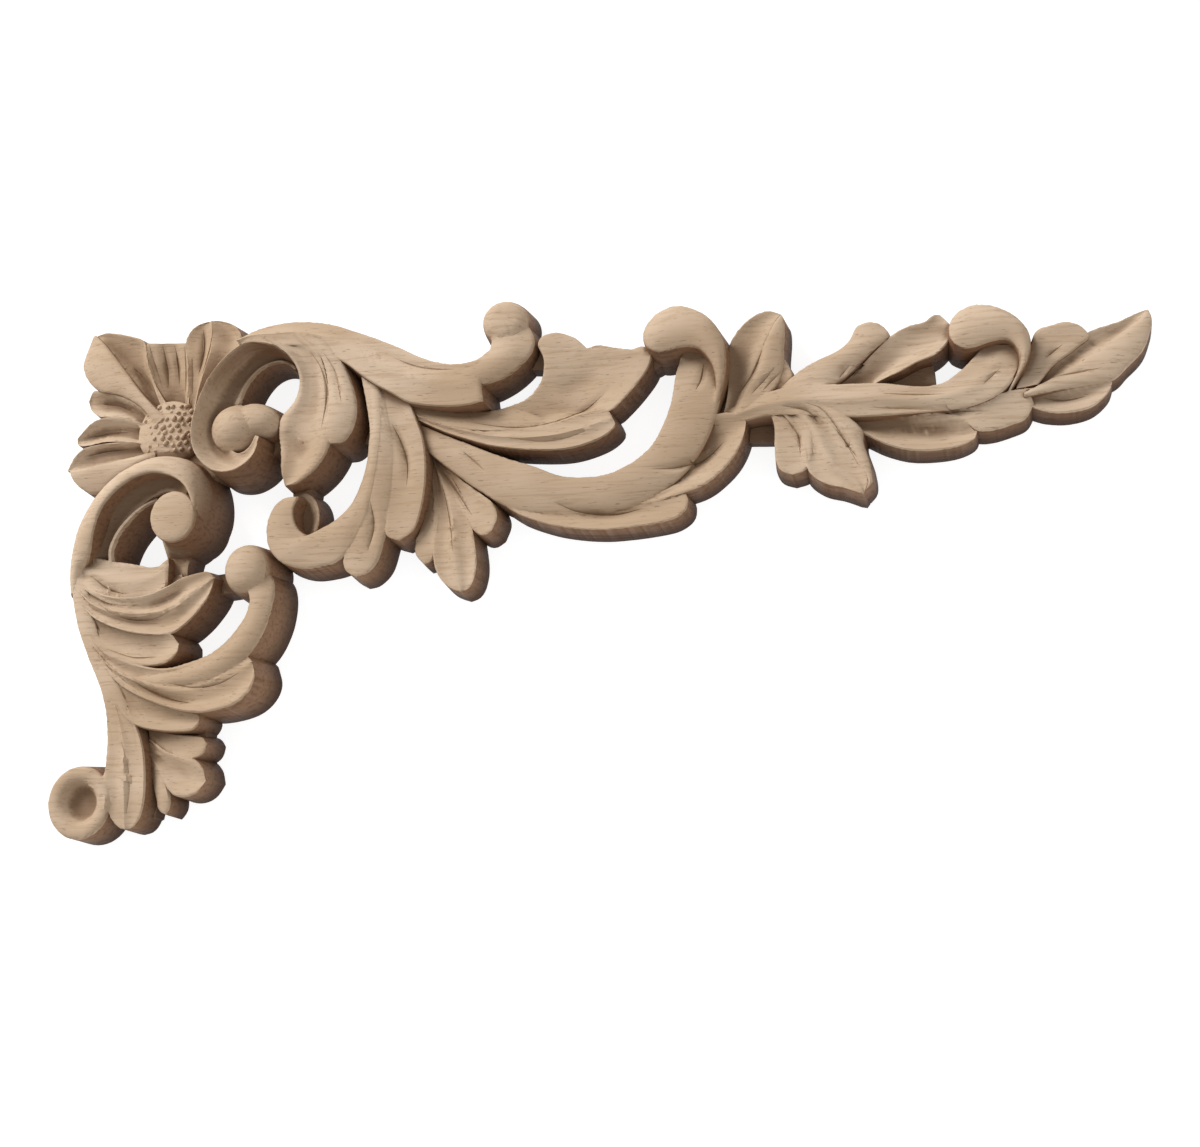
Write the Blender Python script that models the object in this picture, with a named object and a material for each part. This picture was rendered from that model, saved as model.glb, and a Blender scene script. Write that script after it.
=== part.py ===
"""Carved wooden corner onlay: one board with two acanthus arms that leave a corner flower at a right angle.

The pattern is read from a view straight down on the work: every pattern point is (across, down) in pattern
steps with the height of the wood there in millimetres, and plan() sets it where it really stands.
The back lies on z = 0, +X runs along the long arm, -Y along the short arm and +Z out of the carving.
"""

import math
from collections import namedtuple

import bmesh
import bpy
import numpy as np
from mathutils import Vector

# Real sizes, in metres
STEP = 0.0003  # one step of the pattern, at the back of the work
MILLIMETRE = 0.001
EYE_HEIGHT = 0.321  # the eye that the pattern was drawn from, over the back
STOCK_BELOW = 0.002  # extra stock under the back, sawn off flat at the end
STOCK_STEP = 0.00007  # how much deeper each stroke goes than the last, so that no two bottoms meet
CLEAN_UP = 0.00001  # points closer than this are one

# The pattern, in steps
EYE = (620.0, 430.0)  # the pattern point straight below the eye
ORIGIN = (99.0, 95.0)  # plan point under the middle of the corner flower

# How finely the solid is cut
RIB_SPACING = 14.0  # steps between ribs along a leaf
MOST_RIBS = 14
DRAFT = 0.08  # how far the walls lean outward for each unit they go down
COLUMNS_PER_FLUTE = 4
LEAST_RIBS = 5
SPAN_SAMPLES = 12  # points taken on each span of a curve before it is spaced evenly
TIP_SHARE = 0.3  # share of a leaf over which its relief dies out towards the tip
ROUND_SIDES = 16

WOOD = (0.52, 0.38, 0.25, 1.0)

# left and right are the two edges of a leaf, from its root to its tip, as (across, down, height) points.
# crown lifts the middle of each rib and dish hollows each of the flutes between the edges, both in
# millimetres. rim is the share of the width that stays flat beside each edge.
Leaf = namedtuple("Leaf", "name left right crown dish flutes rim", defaults=(0.0, 0.0, 1, 0.0))

# A turned boss: radii across and down, and (share of the radius, height) pairs from its middle to its edge.
Boss = namedtuple("Boss", "name middle radii turn profile")

FLOWER = (
    Leaf("corner petal, left half",
         ((74, 80, 9), (60, 65, 9), (45, 56, 8.5), (30, 52, 8), (21, 46, 7.5), (15, 37, 7.5),
          (14, 28, 7.5), (18, 17, 7.5), (21, 8, 7.5)),
         ((80, 74, 9.5), (62, 56, 10), (48, 39, 10), (36, 24, 9.5), (28, 14, 8.5), (21, 8, 7.5)),
         crown=0.6),
    Leaf("corner petal, right half",
         ((77, 77, 9), (60, 57, 9.8), (46, 40, 9.8), (34, 25, 9.3), (27, 15, 8.3), (23, 9, 7.4)),
         ((84, 70, 9), (70, 48, 9), (63, 30, 9), (60, 16, 8.5), (50, 11, 8.5), (38, 8, 8), (29, 7, 7.8),
          (23, 9, 7.4)),
         dish=2.6),
    Leaf("top petal",
         ((80, 74, 9), (68, 48, 8.8), (63, 30, 8.6), (61, 17, 8)),
         ((97, 70, 9), (96, 50, 9), (94, 34, 9), (92, 19, 8.2)),
         dish=3),
    Leaf("top lobe",
         ((94, 72, 9), (95, 52, 9), (93, 34, 8.6), (92, 20, 8.2), (95, 11, 8), (102, 5.5, 8), (112, 4, 8)),
         ((112, 70, 9), (116, 54, 9), (124, 40, 9), (134, 28, 9), (135, 18, 8), (130, 9.5, 8), (121, 5, 8),
          (112, 4, 8)),
         crown=0.8, dish=1.9, flutes=2),
    Leaf("small left petal",
         ((70, 90, 8.5), (54, 75, 8.5), (40, 71, 8), (29, 70, 7.5), (22, 65, 7), (19, 58, 7)),
         ((74, 78, 8.5), (56, 62, 8.8), (40, 54, 8.3), (28, 51, 7.5), (22, 51, 7), (19, 58, 7)),
         dish=2),
    Leaf("left upper petal",
         ((70, 94, 9), (52, 90, 9), (34, 89, 8.5), (20, 91, 8), (13, 90, 7.5), (12, 85, 7.5)),
         ((74, 80, 9), (60, 76, 9.3), (44, 71, 9), (30, 71, 8.5), (20, 76, 7.8), (12, 85, 7.5)),
         dish=3),
    Leaf("left lower petal, hollow",
         ((72, 100, 9), (54, 103, 9), (34, 107, 8.8), (18, 110, 8.2), (6, 109, 7.2)),
         ((72, 92, 9), (52, 90, 9), (34, 90, 8.5), (17, 93, 8), (10, 100, 7.5), (6, 109, 7.2)),
         dish=2.6),
    Leaf("left lower petal, outer side",
         ((76, 112, 9), (56, 112, 9), (45, 119, 8), (32, 128, 6.5), (20, 124, 6.5), (12, 117, 6.8),
          (8, 109, 7)),
         ((74, 98, 9), (54, 102, 9), (34, 105, 8.8), (18, 108, 8.2), (8, 109, 7)),
         crown=0.4),
)

UPPER_SCROLL = (
    Leaf("upper scroll channel",
         ((178, 42, 12.5), (167, 31, 14.5), (152, 22.5, 15), (133, 23.5, 15), (113, 42, 15), (102.5, 65, 15),
          (99, 84, 15), (103, 101, 15), (115, 113.5, 15), (129, 116, 15), (141, 111, 15), (148, 103, 15),
          (151, 92, 14.6)),
         ((178, 45, 8.6), (171, 40.5, 7.4), (162, 39.5, 7.2), (153, 43.5, 7.2), (144.5, 50.5, 7.4),
          (138.5, 58.5, 8), (135.5, 67, 9), (131.5, 76, 10), (128, 88, 11), (130, 98, 12), (135, 103, 12.8),
          (140.5, 102, 13.4), (145, 98, 13.8), (148.5, 91, 14)),
         dish=2.4, rim=0.04),
    Leaf("upper scroll inner ridge",
         ((131, 70, 9.4), (135.5, 58, 9.2), (141.5, 49, 8.9), (150, 41.2, 8.7), (161, 37.4, 8.7),
          (171, 38, 8.8), (178, 43, 9.2)),
         ((137, 70, 9.2), (139.5, 60, 9), (144.5, 51.5, 8.7), (152, 44, 8.5), (161, 40, 8.5),
          (170, 40.6, 8.6), (176, 45, 9)),
         crown=0.3),
    Leaf("top stem",
         ((133, 20, 13.6), (145, 14.6, 12.6), (160, 11, 12), (178, 10, 11.5), (200, 13, 11.5),
          (225, 22, 11.5), (250, 33, 11), (272, 44, 11), (292, 49, 11), (310, 47, 10.4)),
         ((134, 24, 14.2), (142, 22.6, 14.6), (152, 24, 14.5), (162, 27, 13.9), (176, 27.5, 13.3),
          (192, 32, 12.9), (212, 42, 13), (230, 56, 13), (248, 67, 13), (262, 75, 12.5), (285, 79, 12),
          (302, 79, 11.8), (313.5, 77, 11.4)),
         crown=1.2, dish=0.5, flutes=2, rim=0.04),
    Leaf("top curl neck",
         ((288, 52, 10.2), (304, 49, 10), (316, 42, 9.2), (319, 36, 8.6), (318, 30, 8.4), (322, 24, 8)),
         ((294, 68, 10.4), (311, 66.5, 10.2), (328, 62, 8.8), (340, 54, 8.3), (348, 44, 8.2), (349, 34, 8.2),
          (344, 24, 8)),
         crown=1.2),
)

UPPER_LEAVES = (
    Leaf("scroll leaf, inner blade",
         ((150, 20, 14.5), (167, 31, 13.8), (177, 43, 12.5), (180, 56, 11.5), (177, 68, 11), (168, 79, 11),
          (166, 90, 11), (168, 105, 11), (169, 118, 11), (172, 129, 11)),
         ((180, 19, 13.5), (194, 34, 12.9), (200, 52, 12.4), (202, 70, 12), (202, 86, 11.8),
          (204, 100, 11.6), (199, 112, 11.3), (191, 121, 11.2), (181, 128, 11), (172, 129, 11)),
         crown=1, dish=2, rim=0.12),
    Leaf("scroll leaf, outer blade",
         ((180, 20, 13), (195, 37, 12.8), (200, 55, 12.5), (201, 75, 12.5), (200, 90, 12),
          (204, 101, 11.5)),
         ((200, 26, 13), (212, 43, 12.5), (219, 58, 12), (223, 75, 12), (221, 90, 11.5),
          (214, 100, 11.2), (204, 101, 11.5)),
         crown=0.8),
    Leaf("middle leaf, right blade",
         ((234, 50, 10.2), (242, 75, 10.4), (246, 105, 10), (247, 130, 9.6), (246, 150, 9.2), (246.5, 167, 9),
          (256, 172, 9)),
         ((258, 66, 11), (266, 86.6, 11), (271, 100, 10.8), (273.6, 117, 10.4), (273.6, 134, 10),
          (271, 151, 9.6), (266, 165, 9.2), (256, 172, 9)),
         crown=0.8, dish=1),
    Leaf("middle leaf, centre blade",
         ((224, 48, 10.6), (230, 75, 10.8), (233, 95, 10.8), (234, 120, 10.4), (230, 142, 10),
          (223, 160, 9.5), (217, 178, 9.2), (218, 190, 9), (226, 196, 9)),
         ((242, 52, 10.6), (250, 85, 10.8), (252, 108, 10.8), (252, 132, 10.4), (250, 152, 10),
          (246, 170, 9.5), (241, 186, 9), (233, 194, 9), (226, 196, 9)),
         crown=0.7, dish=0.9),
    Leaf("middle leaf, left branch",
         ((226, 50, 10), (232, 75, 10), (233, 98, 10), (231, 120, 9.5), (223, 142, 9.5), (212, 154, 9.5),
          (200, 161, 9.5), (191, 165, 9.5), (184, 161, 10), (180, 154, 10.5), (179, 146, 11),
          (182, 139, 11)),
         ((240, 60, 11), (242, 90, 11), (240, 120, 10.5), (234, 150, 10), (224, 172, 9.5),
          (213, 184, 9.5), (198, 188, 9.5), (184, 188, 9.5), (170, 182, 10), (162, 172, 10),
          (160, 158, 10), (164, 145, 10), (172, 138, 10.5), (182, 137, 11)),
         crown=0.8),
    Leaf("hanging leaflet, left lobe",
         ((276, 120, 6), (275, 150, 6.5), (268, 172, 7), (268, 182, 7), (274, 189, 7)),
         ((283, 125, 6), (284, 155, 7), (282, 180, 7.5), (279, 187, 7), (274, 189, 7)),
         crown=0.3, dish=0.4),
    Leaf("hanging leaflet, centre lobe",
         ((274, 112, 6), (279, 140, 7), (280, 165, 7.5), (280, 184, 8), (287, 198, 8), (298, 208, 8)),
         ((282, 114, 6), (295, 135, 7.5), (305, 155, 8), (308, 170, 8), (310, 188, 8), (306, 201, 8),
          (298, 208, 8)),
         crown=0.5, dish=1.2, flutes=2),
    Leaf("hanging leaflet, right lobe",
         ((282, 122, 6), (294, 142, 7), (304, 160, 8), (309, 168, 8.5), (316, 170, 9), (322, 165, 9)),
         ((282, 114, 6), (300, 132, 7.5), (314, 143, 8.5), (323, 151, 9), (324, 158, 9), (322, 165, 9)),
         crown=0.3, dish=0.8),
)

LONG_ARM = (
    Leaf("great leaf, top lobe",
         ((357, 64, 5.5), (356, 50, 7.2), (351.5, 39, 8.3), (356, 33, 8.3), (366, 31.5, 8.3)),
         ((380, 64, 5.5), (388, 50, 6.6), (385, 43.5, 8.1), (377, 36, 8.3), (366, 31.5, 8.3))),
    Leaf("great leaf, upper blade",
         ((250, 62, 9), (275, 76, 8.2), (300, 83.5, 7.2), (320, 85, 6.6), (333, 81.5, 6.6), (342, 78.5, 6.6),
          (349, 73, 6.8), (354.5, 64, 7.2), (356, 52, 7.8), (352.5, 40, 8.2)),
         ((260, 84, 9.5), (290, 94, 9.6), (330, 98, 9.2), (358, 96.5, 8.9), (382, 91, 8.7), (401, 89.5, 8.5),
          (410, 83, 8.5), (421, 71, 8.5), (428.5, 60, 8.6), (431.4, 49, 8.8)),
         dish=1.9),
    Leaf("great leaf, root",
         ((250, 62, 9.3), (275, 76, 8.6), (298, 83, 7.7), (318, 84.5, 6.8), (334, 82, 5.8)),
         ((260, 84, 9.8), (290, 94, 9.8), (318, 98, 9.2), (342, 98, 8.3), (364, 95, 6.5))),
    Leaf("great leaf, lower blade",
         ((264, 80, 9.2), (290, 90, 9.2), (320, 96, 8.8), (350, 96, 8.5), (378, 90.5, 8.3), (398, 88, 8.2),
          (404, 95, 8.2)),
         ((267, 87.5, 10), (285, 96.5, 9.8), (306, 104.5, 9.6), (322, 109.5, 9.2), (345, 113.3, 8.8),
          (372, 114.5, 8.4), (394, 109, 8.2), (405, 101, 8.2), (404, 95, 8.2)),
         crown=0.6, dish=0.9, flutes=2, rim=0.04),
    Leaf("sweeping stem, inner band",
         ((266, 89, 8.5), (293, 102, 8.7), (327, 117, 8.8), (348, 124.5, 8.8), (372, 133.6, 8.8),
          (402, 132.7, 8.8), (428, 117.4, 8.8), (441.6, 92, 9), (446.8, 67, 9), (452, 50, 9)),
         ((276, 112, 8.3), (293, 126, 8.2), (311, 139.5, 8.2), (330, 151.5, 8.1), (350, 157, 7.8),
          (370, 159.5, 7.4), (388, 161, 7.2), (406, 160.5, 7.2), (428, 153, 7.2), (450, 138, 7.4),
          (466, 116, 8), (475, 92, 8.8), (480, 68, 9.5), (481, 50, 10)),
         crown=0.8),
    Leaf("sweeping stem, outer lobe",
         ((318, 134, 6.4), (345, 148, 6.7), (368, 153, 6.9), (395, 157, 7), (425, 152, 7.2), (446, 143, 7.4),
          (452, 148, 8)),
         ((322, 146, 7.2), (335, 155, 8), (344.4, 160, 8.3), (361.5, 166, 8.4), (378.5, 169.4, 8.5),
          (395.6, 171, 8.5), (412.7, 170.5, 8.5), (429.7, 169, 8.4), (443.4, 166.5, 8.3), (452, 161, 8.2),
          (454, 154, 8), (452, 148, 8)),
         dish=0.5, rim=0.06),
    Leaf("sweeping stem, upper lobe",
         ((400, 138, 6.5), (430, 124, 7), (448, 110, 7.6), (462, 100, 8.2), (478, 95.5, 8.4), (490, 98, 8.2),
          (493, 103, 8.2)),
         ((405, 158, 6.8), (428, 155, 7.6), (447, 150, 8.2), (464, 144.6, 8.3), (476, 136, 8.3),
          (485, 126, 8.3), (491, 114, 8.2), (493, 103, 8.2)),
         dish=1.9, rim=0.04),
    Leaf("long arm curl",
         ((472, 102, 6), (478, 86, 8.2), (481, 68, 10.8), (480.5, 51, 12), (476, 38, 12.3), (466, 26, 12.5),
          (450, 19, 12.3), (436, 22, 12), (427, 31, 12), (424.5, 40, 11.8), (427, 47, 11.4), (432, 51, 11.2)),
         ((468, 100, 6), (472.5, 86, 8.2), (473, 71, 10.8), (470, 60, 12), (463, 51, 12.5), (455, 48.5, 12.5),
          (447, 49, 12.4), (441, 50.5, 12), (436, 51.5, 11.6), (432, 51, 11.2)),
         crown=1.8),
    Leaf("upright leaf, left half",
         ((478, 98, 7.8), (481, 82, 8.6), (482, 65, 8.8), (482, 52, 8.8), (488, 40, 8.8), (498, 30.5, 8.8),
          (509, 27, 8.6), (517.5, 30, 8.5)),
         ((486, 96, 8.2), (493, 80, 9), (501, 63, 9), (507, 48, 9), (513, 36, 8.8), (517.5, 30, 8.5)),
         dish=1.5),
    Leaf("upright leaf, right half",
         ((486, 96, 8.2), (493, 80, 9), (501, 63, 9), (507, 48, 9), (513, 36, 8.8), (517.5, 30, 8.5)),
         ((502, 96, 8), (513, 82, 8), (518.5, 68, 8), (519, 56, 8.2), (520, 43, 8.3), (519.5, 34, 8.5),
          (517.5, 30, 8.5)),
         crown=0.5),
    Leaf("upright leaf, side lobe",
         ((486, 92, 7), (500, 80, 7.2), (511, 68, 7.4), (518, 61, 7.5), (522.5, 67, 7.4)),
         ((494, 98, 7), (510, 90, 7.4), (521, 84, 7.4), (525, 76, 7.4), (522.5, 67, 7.4))),
)

OUTER_SPRAY = (
    Leaf("spray stem",
         ((450, 106, 6.5), (468, 98, 8.2), (485, 91, 9.2), (505, 84.5, 9.3), (525, 80, 9.2), (550, 81, 9),
          (580, 82, 9), (605, 86, 9), (620, 85, 8.8), (630, 79, 8.6), (640, 70, 8.6), (648, 60, 8.5)),
         ((456, 114, 6.5), (475, 107, 8), (494, 101.5, 9), (512, 99.5, 9.2), (535, 101, 9.2), (560, 104, 9),
          (590, 104, 9), (615, 103, 9), (640, 101, 9), (658, 93, 9), (668, 80, 9), (674, 62, 9)),
         crown=1, dish=0.5, flutes=2),
    Leaf("spray, first upper lobe",
         ((505, 92, 8), (526, 72.5, 8.2), (540, 64.5, 8.2), (552, 59.5, 8.2), (560, 54, 8.2), (564, 48, 8.2),
          (567, 42.5, 8.2), (575, 40.3, 8)),
         ((535, 96, 7.6), (552, 83, 7.8), (565, 71, 8), (577, 60, 8.2), (587.5, 51, 8.2), (586, 46, 8),
          (581, 41.5, 8), (575, 40.3, 8)),
         crown=0.9),
    Leaf("spray, second upper lobe",
         ((540, 92, 6.8), (562, 76, 7.2), (578, 60, 7.8), (590, 49.5, 8.2), (600, 44.5, 8.3),
          (610, 42.5, 8.3), (616.5, 38.3, 8.2), (621, 38.5, 8)),
         ((562, 93, 7.5), (582, 80, 8.3), (594, 75, 8.5), (605, 69.5, 8.6), (615, 66, 8.6), (622, 61, 8.6),
          (627, 54, 8.5), (627, 46, 8.3), (621, 38.5, 8)),
         dish=1.9),
    Leaf("spray curl",
         ((662, 98, 6), (668, 87, 7.8), (674, 76, 9.5), (677, 64, 10.3), (675.5, 53, 10.7), (668, 43, 11),
          (657, 36, 11), (645.5, 33.3, 10.6), (637, 35, 10.5), (630, 39.5, 10.5), (626.5, 46, 10.5),
          (626, 54, 10.4), (629, 60, 10.2)),
         ((659, 96, 6), (664.5, 87, 7.8), (668.5, 77, 9.5), (669, 69, 10.3), (666, 62, 10.7), (661, 58.5, 11),
          (653, 59, 11), (646, 61, 10.8), (640, 62.5, 10.5), (634, 62.5, 10.3), (629, 60, 10.2)),
         crown=1.6),
    Leaf("drop leaf, left lobe",
         ((504, 92, 8.2), (511, 104, 8.4), (511.5, 120, 8.4), (512, 130, 8.4), (515.5, 137.4, 8.4),
          (523, 140.5, 8.4)),
         ((530, 96, 8.4), (535, 110, 8.8), (536, 125, 8.8), (532, 137, 8.5), (523, 140.5, 8.4)),
         crown=0.4, dish=0.8),
    Leaf("drop leaf, centre lobe",
         ((510, 92, 9), (522, 105, 9), (530, 122, 9), (533, 138, 9), (543, 147, 9), (556, 151, 9),
          (568, 156, 9)),
         ((528, 90, 9.5), (545, 103, 9.5), (557, 120, 9.5), (566, 134, 9.2), (571, 146, 9), (568, 156, 9)),
         crown=0.2, dish=1.2, flutes=2),
    Leaf("drop leaf, right lobe",
         ((520, 92, 9.3), (542, 102, 9.3), (556, 118, 9.3), (565, 133, 9), (571, 146, 9), (569, 154, 9)),
         ((535, 88, 9), (555, 100, 9), (568, 112, 8.5), (569, 122, 8.5), (573, 136, 8.5), (574, 148, 8.5),
          (569, 154, 9)),
         crown=0.6),
    Leaf("spray, first lower lobe",
         ((558, 96, 8.4), (582, 100, 7.9), (605, 103, 7.8), (628, 106, 7.6), (639, 112, 7.4),
          (641, 119, 7.2)),
         ((556, 108, 8), (573, 118, 7.4), (584, 124, 7.3), (598, 128.5, 7.3), (613, 129.5, 7.3),
          (628, 128, 7.3), (638, 124, 7.2), (641, 119, 7.2)),
         dish=2.1, rim=0.05),
    Leaf("spray, second lower lobe",
         ((600, 94, 7), (630, 97, 8.4), (655, 94, 8.3), (672, 92, 7.8), (677, 102, 7.2)),
         ((612, 103, 6.5), (632, 111, 7.2), (641, 118, 7.3), (651, 118.5, 7.3), (663, 115.5, 7.2),
          (672, 111.5, 7.2), (677, 102, 7.2)),
         crown=0.3, dish=0.5),
    Leaf("tip leaf, upper lobe",
         ((666, 92, 8), (674, 72, 8), (680, 55, 7.6), (689.5, 51, 7.5), (699, 49.3, 7.4), (707, 51.5, 7.2),
          (712, 57, 7)),
         ((680, 90, 8), (690, 78, 7.6), (700, 71, 7.2), (708, 65, 7), (713, 61, 7), (712, 57, 7)),
         crown=0.5, dish=0.6),
    Leaf("tip leaf, upper half",
         ((669, 94, 8), (690, 75, 7.6), (712, 57.5, 7.2), (731, 51.4, 6.8), (743, 46.5, 6.4),
          (750, 44.5, 6.2)),
         ((673, 95, 8), (701, 81, 7.2), (722, 68, 6.8), (738, 57, 6.5), (746, 50, 6.3), (750, 44.5, 6.2)),
         dish=1.5),
    Leaf("tip leaf, lower half",
         ((671, 95, 8), (701, 80, 7.2), (722, 67, 6.8), (738, 56, 6.5), (746, 49, 6.3), (750, 44.5, 6.2)),
         ((671, 98, 8), (700, 94, 7.2), (725, 90.6, 6.6), (735.5, 82, 6.4), (745, 72.4, 6.3), (750, 61, 6.2),
          (752, 51.5, 6.2), (750, 44.5, 6.2)),
         crown=0.7),
    Leaf("tip leaf, lower lobe",
         ((660, 94, 8), (690, 90, 7.6), (710, 88, 7.2), (722, 88, 6.8), (725.5, 91.5, 6.5)),
         ((664, 99, 7.6), (676, 105, 7), (686, 108.7, 6.8), (699, 109.7, 6.8), (712.5, 106.8, 6.6),
          (722, 99, 6.5), (725.5, 91.5, 6.5)),
         dish=1.2, rim=0.06),
)

LOWER_SCROLL = (
    Leaf("lower scroll band",
         ((17, 202, 7.4), (14.5, 186, 8.6), (15, 168, 9.3), (20, 148, 10), (32, 128, 10.5), (50, 112, 11.5),
          (74, 103, 12), (96, 105, 11), (111.5, 115, 9.6), (121, 133, 8), (121, 151, 8), (114, 167, 7.5),
          (102, 178, 6.5), (88, 179.5, 5.5)),
         ((22, 196, 8.2), (25, 184, 9), (28, 172, 11.6), (30, 152, 13.8), (36.5, 135, 14.3), (51, 121, 14.8),
          (70, 114, 15), (88, 118, 15), (99, 128, 15), (104, 143, 15), (101.5, 157, 14.4), (92, 163.5, 12.5),
          (78, 164.5, 10.5)),
         crown=1.4),
    Leaf("lower scroll channel",
         ((31, 178, 9.4), (27, 166, 11.4), (27.5, 148, 12.6), (35, 132, 13.2), (50, 118.5, 13.6),
          (70, 111.5, 13.8), (90, 115.5, 13.8), (101, 127, 13.8)),
         ((45, 179, 9.2), (45, 168, 9.4), (50, 156, 9.4), (58, 146, 9.4), (67, 138, 9.5), (77, 131.5, 9.8),
          (86, 129, 10.6), (96, 134, 12)),
         dish=2.2, rim=0.04),
    Leaf("lower scroll inner ridge",
         ((43, 180, 9.2), (42, 168, 10.6), (47.5, 155, 11), (56.5, 144.5, 11), (66, 137.2, 10.8),
          (76, 132.5, 10.4)),
         ((48, 180, 9), (46.5, 169.5, 10.4), (51, 158, 10.7), (59.5, 147.5, 10.7), (68.5, 139.5, 10.6),
          (78, 134.5, 10.3)),
         crown=0.5),
)

SHORT_ARM = (
    Leaf("side stem",
         ((19, 158, 7.5), (14.5, 176, 8.8), (15.5, 192, 9), (18, 206, 9), (23, 224, 9), (32, 245, 9),
          (43, 268, 9), (49, 290, 8.5), (50, 310, 8), (49, 330, 8)),
         ((29, 166, 8), (28, 178, 8.6), (29, 192, 8.8), (32, 206, 8.8), (37, 224, 8.8), (46, 246, 8.9),
          (58, 268, 9.3), (68, 288, 9.2), (73, 302, 9.2), (76, 320, 9)),
         crown=0.5),
    Leaf("first side leaf, inner lobe",
         ((17.5, 166, 8.9), (30, 172, 9.5), (44, 176.5, 9.8), (56, 178.5, 9.8), (66, 180.5, 9.6),
          (74, 182.3, 9.5), (81, 181.5, 9.4), (87.5, 176.5, 9.2)),
         ((17.5, 177, 9), (28, 184, 9.9), (40, 189, 10.2), (52, 192, 10.2), (66, 191.8, 10), (78, 188, 9.8),
          (88, 181, 9.5)),
         crown=0.2, dish=0.7),
    Leaf("first side leaf, middle lobe",
         ((17.5, 176, 9), (28, 183, 9.9), (40, 188.5, 10.2), (52, 191.5, 10.2), (66, 191.3, 10),
          (78, 187.5, 9.8), (88, 180.5, 9.5)),
         ((18, 188, 9), (28, 198, 10.1), (43, 206, 10.2), (58, 209, 10.1), (70, 208, 9.9), (81, 203, 9.7),
          (88, 197, 9.5)),
         crown=0.2, dish=0.9),
    Leaf("first side leaf, main lobe",
         ((18, 186, 9.1), (30, 196, 10.1), (50, 202, 10.9), (70, 202, 10.6), (87, 196.5, 10.2),
          (97, 191.3, 10.2), (109, 188, 10.2), (118, 187.5, 10.1), (123.3, 192, 10)),
         ((19.5, 202, 9.1), (34, 217, 10.1), (56, 226.5, 10.4), (78, 230.5, 10.4), (93, 230, 10.3),
          (103, 224, 10.2), (112, 215, 10.1), (119.6, 204, 10), (123.3, 192, 10)),
         crown=0.6, dish=1.8, flutes=2, rim=0.05),
    Leaf("first side leaf, under lobe",
         ((19.5, 200, 9), (38, 214, 9.4), (60, 223, 9.6), (80, 227, 9.8), (92, 229.5, 10), (98.5, 237, 10.1)),
         ((26, 222, 9.1), (38, 237, 9.9), (54, 247, 10.3), (67, 251, 10.3), (80.5, 252, 10.2),
          (91.3, 249.7, 10.2), (97.8, 243.5, 10.2), (98.5, 237, 10.1)),
         dish=1.5, rim=0.08),
    Leaf("second side leaf, main lobe",
         ((26, 221, 9), (40, 238, 9.8), (60, 248, 10.1), (88, 254, 10.4), (112, 249, 10.6), (130, 243, 11),
          (146, 245, 11.4), (153.5, 251, 11.8)),
         ((34, 242, 9), (60, 267, 10.2), (92, 281, 10.8), (116, 285.3, 11.5), (138, 281.5, 12),
          (150, 273.7, 12.3), (155.5, 262.8, 12.3), (153.5, 251, 11.8)),
         crown=0.4, dish=1.4, flutes=2, rim=0.05),
    Leaf("second side leaf, lower lobe",
         ((33, 240, 9), (60, 262, 9.8), (84, 275, 10), (104, 283, 10), (116.3, 286.8, 9.8)),
         ((46, 265, 9), (60, 285, 10), (71, 293.3, 9.8), (87, 297, 9.7), (102, 298, 9.6), (112, 297, 9.6),
          (116.5, 292, 9.7), (116.3, 286.8, 9.8)),
         crown=0.2, dish=1.4, rim=0.06),
    Leaf("side curl",
         ((40, 252, 6.5), (80, 257, 9), (108, 252, 10.2), (130, 240, 10.8), (144.5, 224, 11.4),
          (149.5, 211, 12), (148, 201, 12), (148, 192, 12)),
         ((46, 262, 6.2), (88, 270, 8.8), (116, 268, 10), (138, 258, 11), (154, 243, 11.6), (163, 226, 11.6),
          (167.3, 209, 11), (167.3, 197, 10.2), (162, 188, 10)),
         crown=1.4),
    Leaf("long end leaf",
         ((47, 276, 8.6), (50, 305, 9), (49, 328, 9), (52, 346, 8.8), (56, 356, 8.6), (62, 362, 8.5),
          (67, 363.5, 8.5)),
         ((64, 280, 9.4), (75, 303, 9.6), (79, 323, 9.6), (79.5, 342, 9.2), (77, 355, 8.8), (73, 361.5, 8.6),
          (67, 363.5, 8.5)),
         crown=0.6, dish=0.9, flutes=2, rim=0.04),
    Leaf("fan leaflet, upper lobe",
         ((80, 293, 6.8), (94, 298, 7.6), (108, 300.3, 8), (119, 302, 8.2), (123, 306.5, 8.2)),
         ((82, 312, 6.8), (94, 316, 7.5), (106, 318, 7.9), (115, 316.5, 8.1), (121, 312.5, 8.2),
          (123, 306.5, 8.2)),
         crown=0.3, dish=0.7),
    Leaf("fan leaflet, main lobe",
         ((81, 302, 7), (94, 311, 8), (105, 314.5, 8.3), (114, 316.5, 8.5), (121, 323, 8.5),
          (123.5, 331.5, 8.5)),
         ((81, 312, 6.8), (89, 325, 7.7), (95, 335, 8.1), (101, 341, 8.4), (110, 342.3, 8.5), (118, 339, 8.5),
          (123.5, 331.5, 8.5)),
         crown=0.7, dish=1.7, rim=0.06),
    Leaf("fan leaflet, end lobe",
         ((86, 312, 6.6), (93, 326, 7.2), (98, 339, 7.5), (99, 348, 7.4), (96, 354, 7.2)),
         ((80, 312, 5.8), (84, 328, 6.3), (88, 342, 6.8), (91, 351, 7), (96, 354, 7.2)),
         crown=0.5),
    Leaf("end curl neck",
         ((36, 321, 8.6), (42, 323.5, 9), (47, 327, 9), (51, 322, 8.6)),
         ((38, 334, 8.8), (44, 337, 9.1), (49, 339, 9.1), (54, 339, 8.8))),
)

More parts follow.
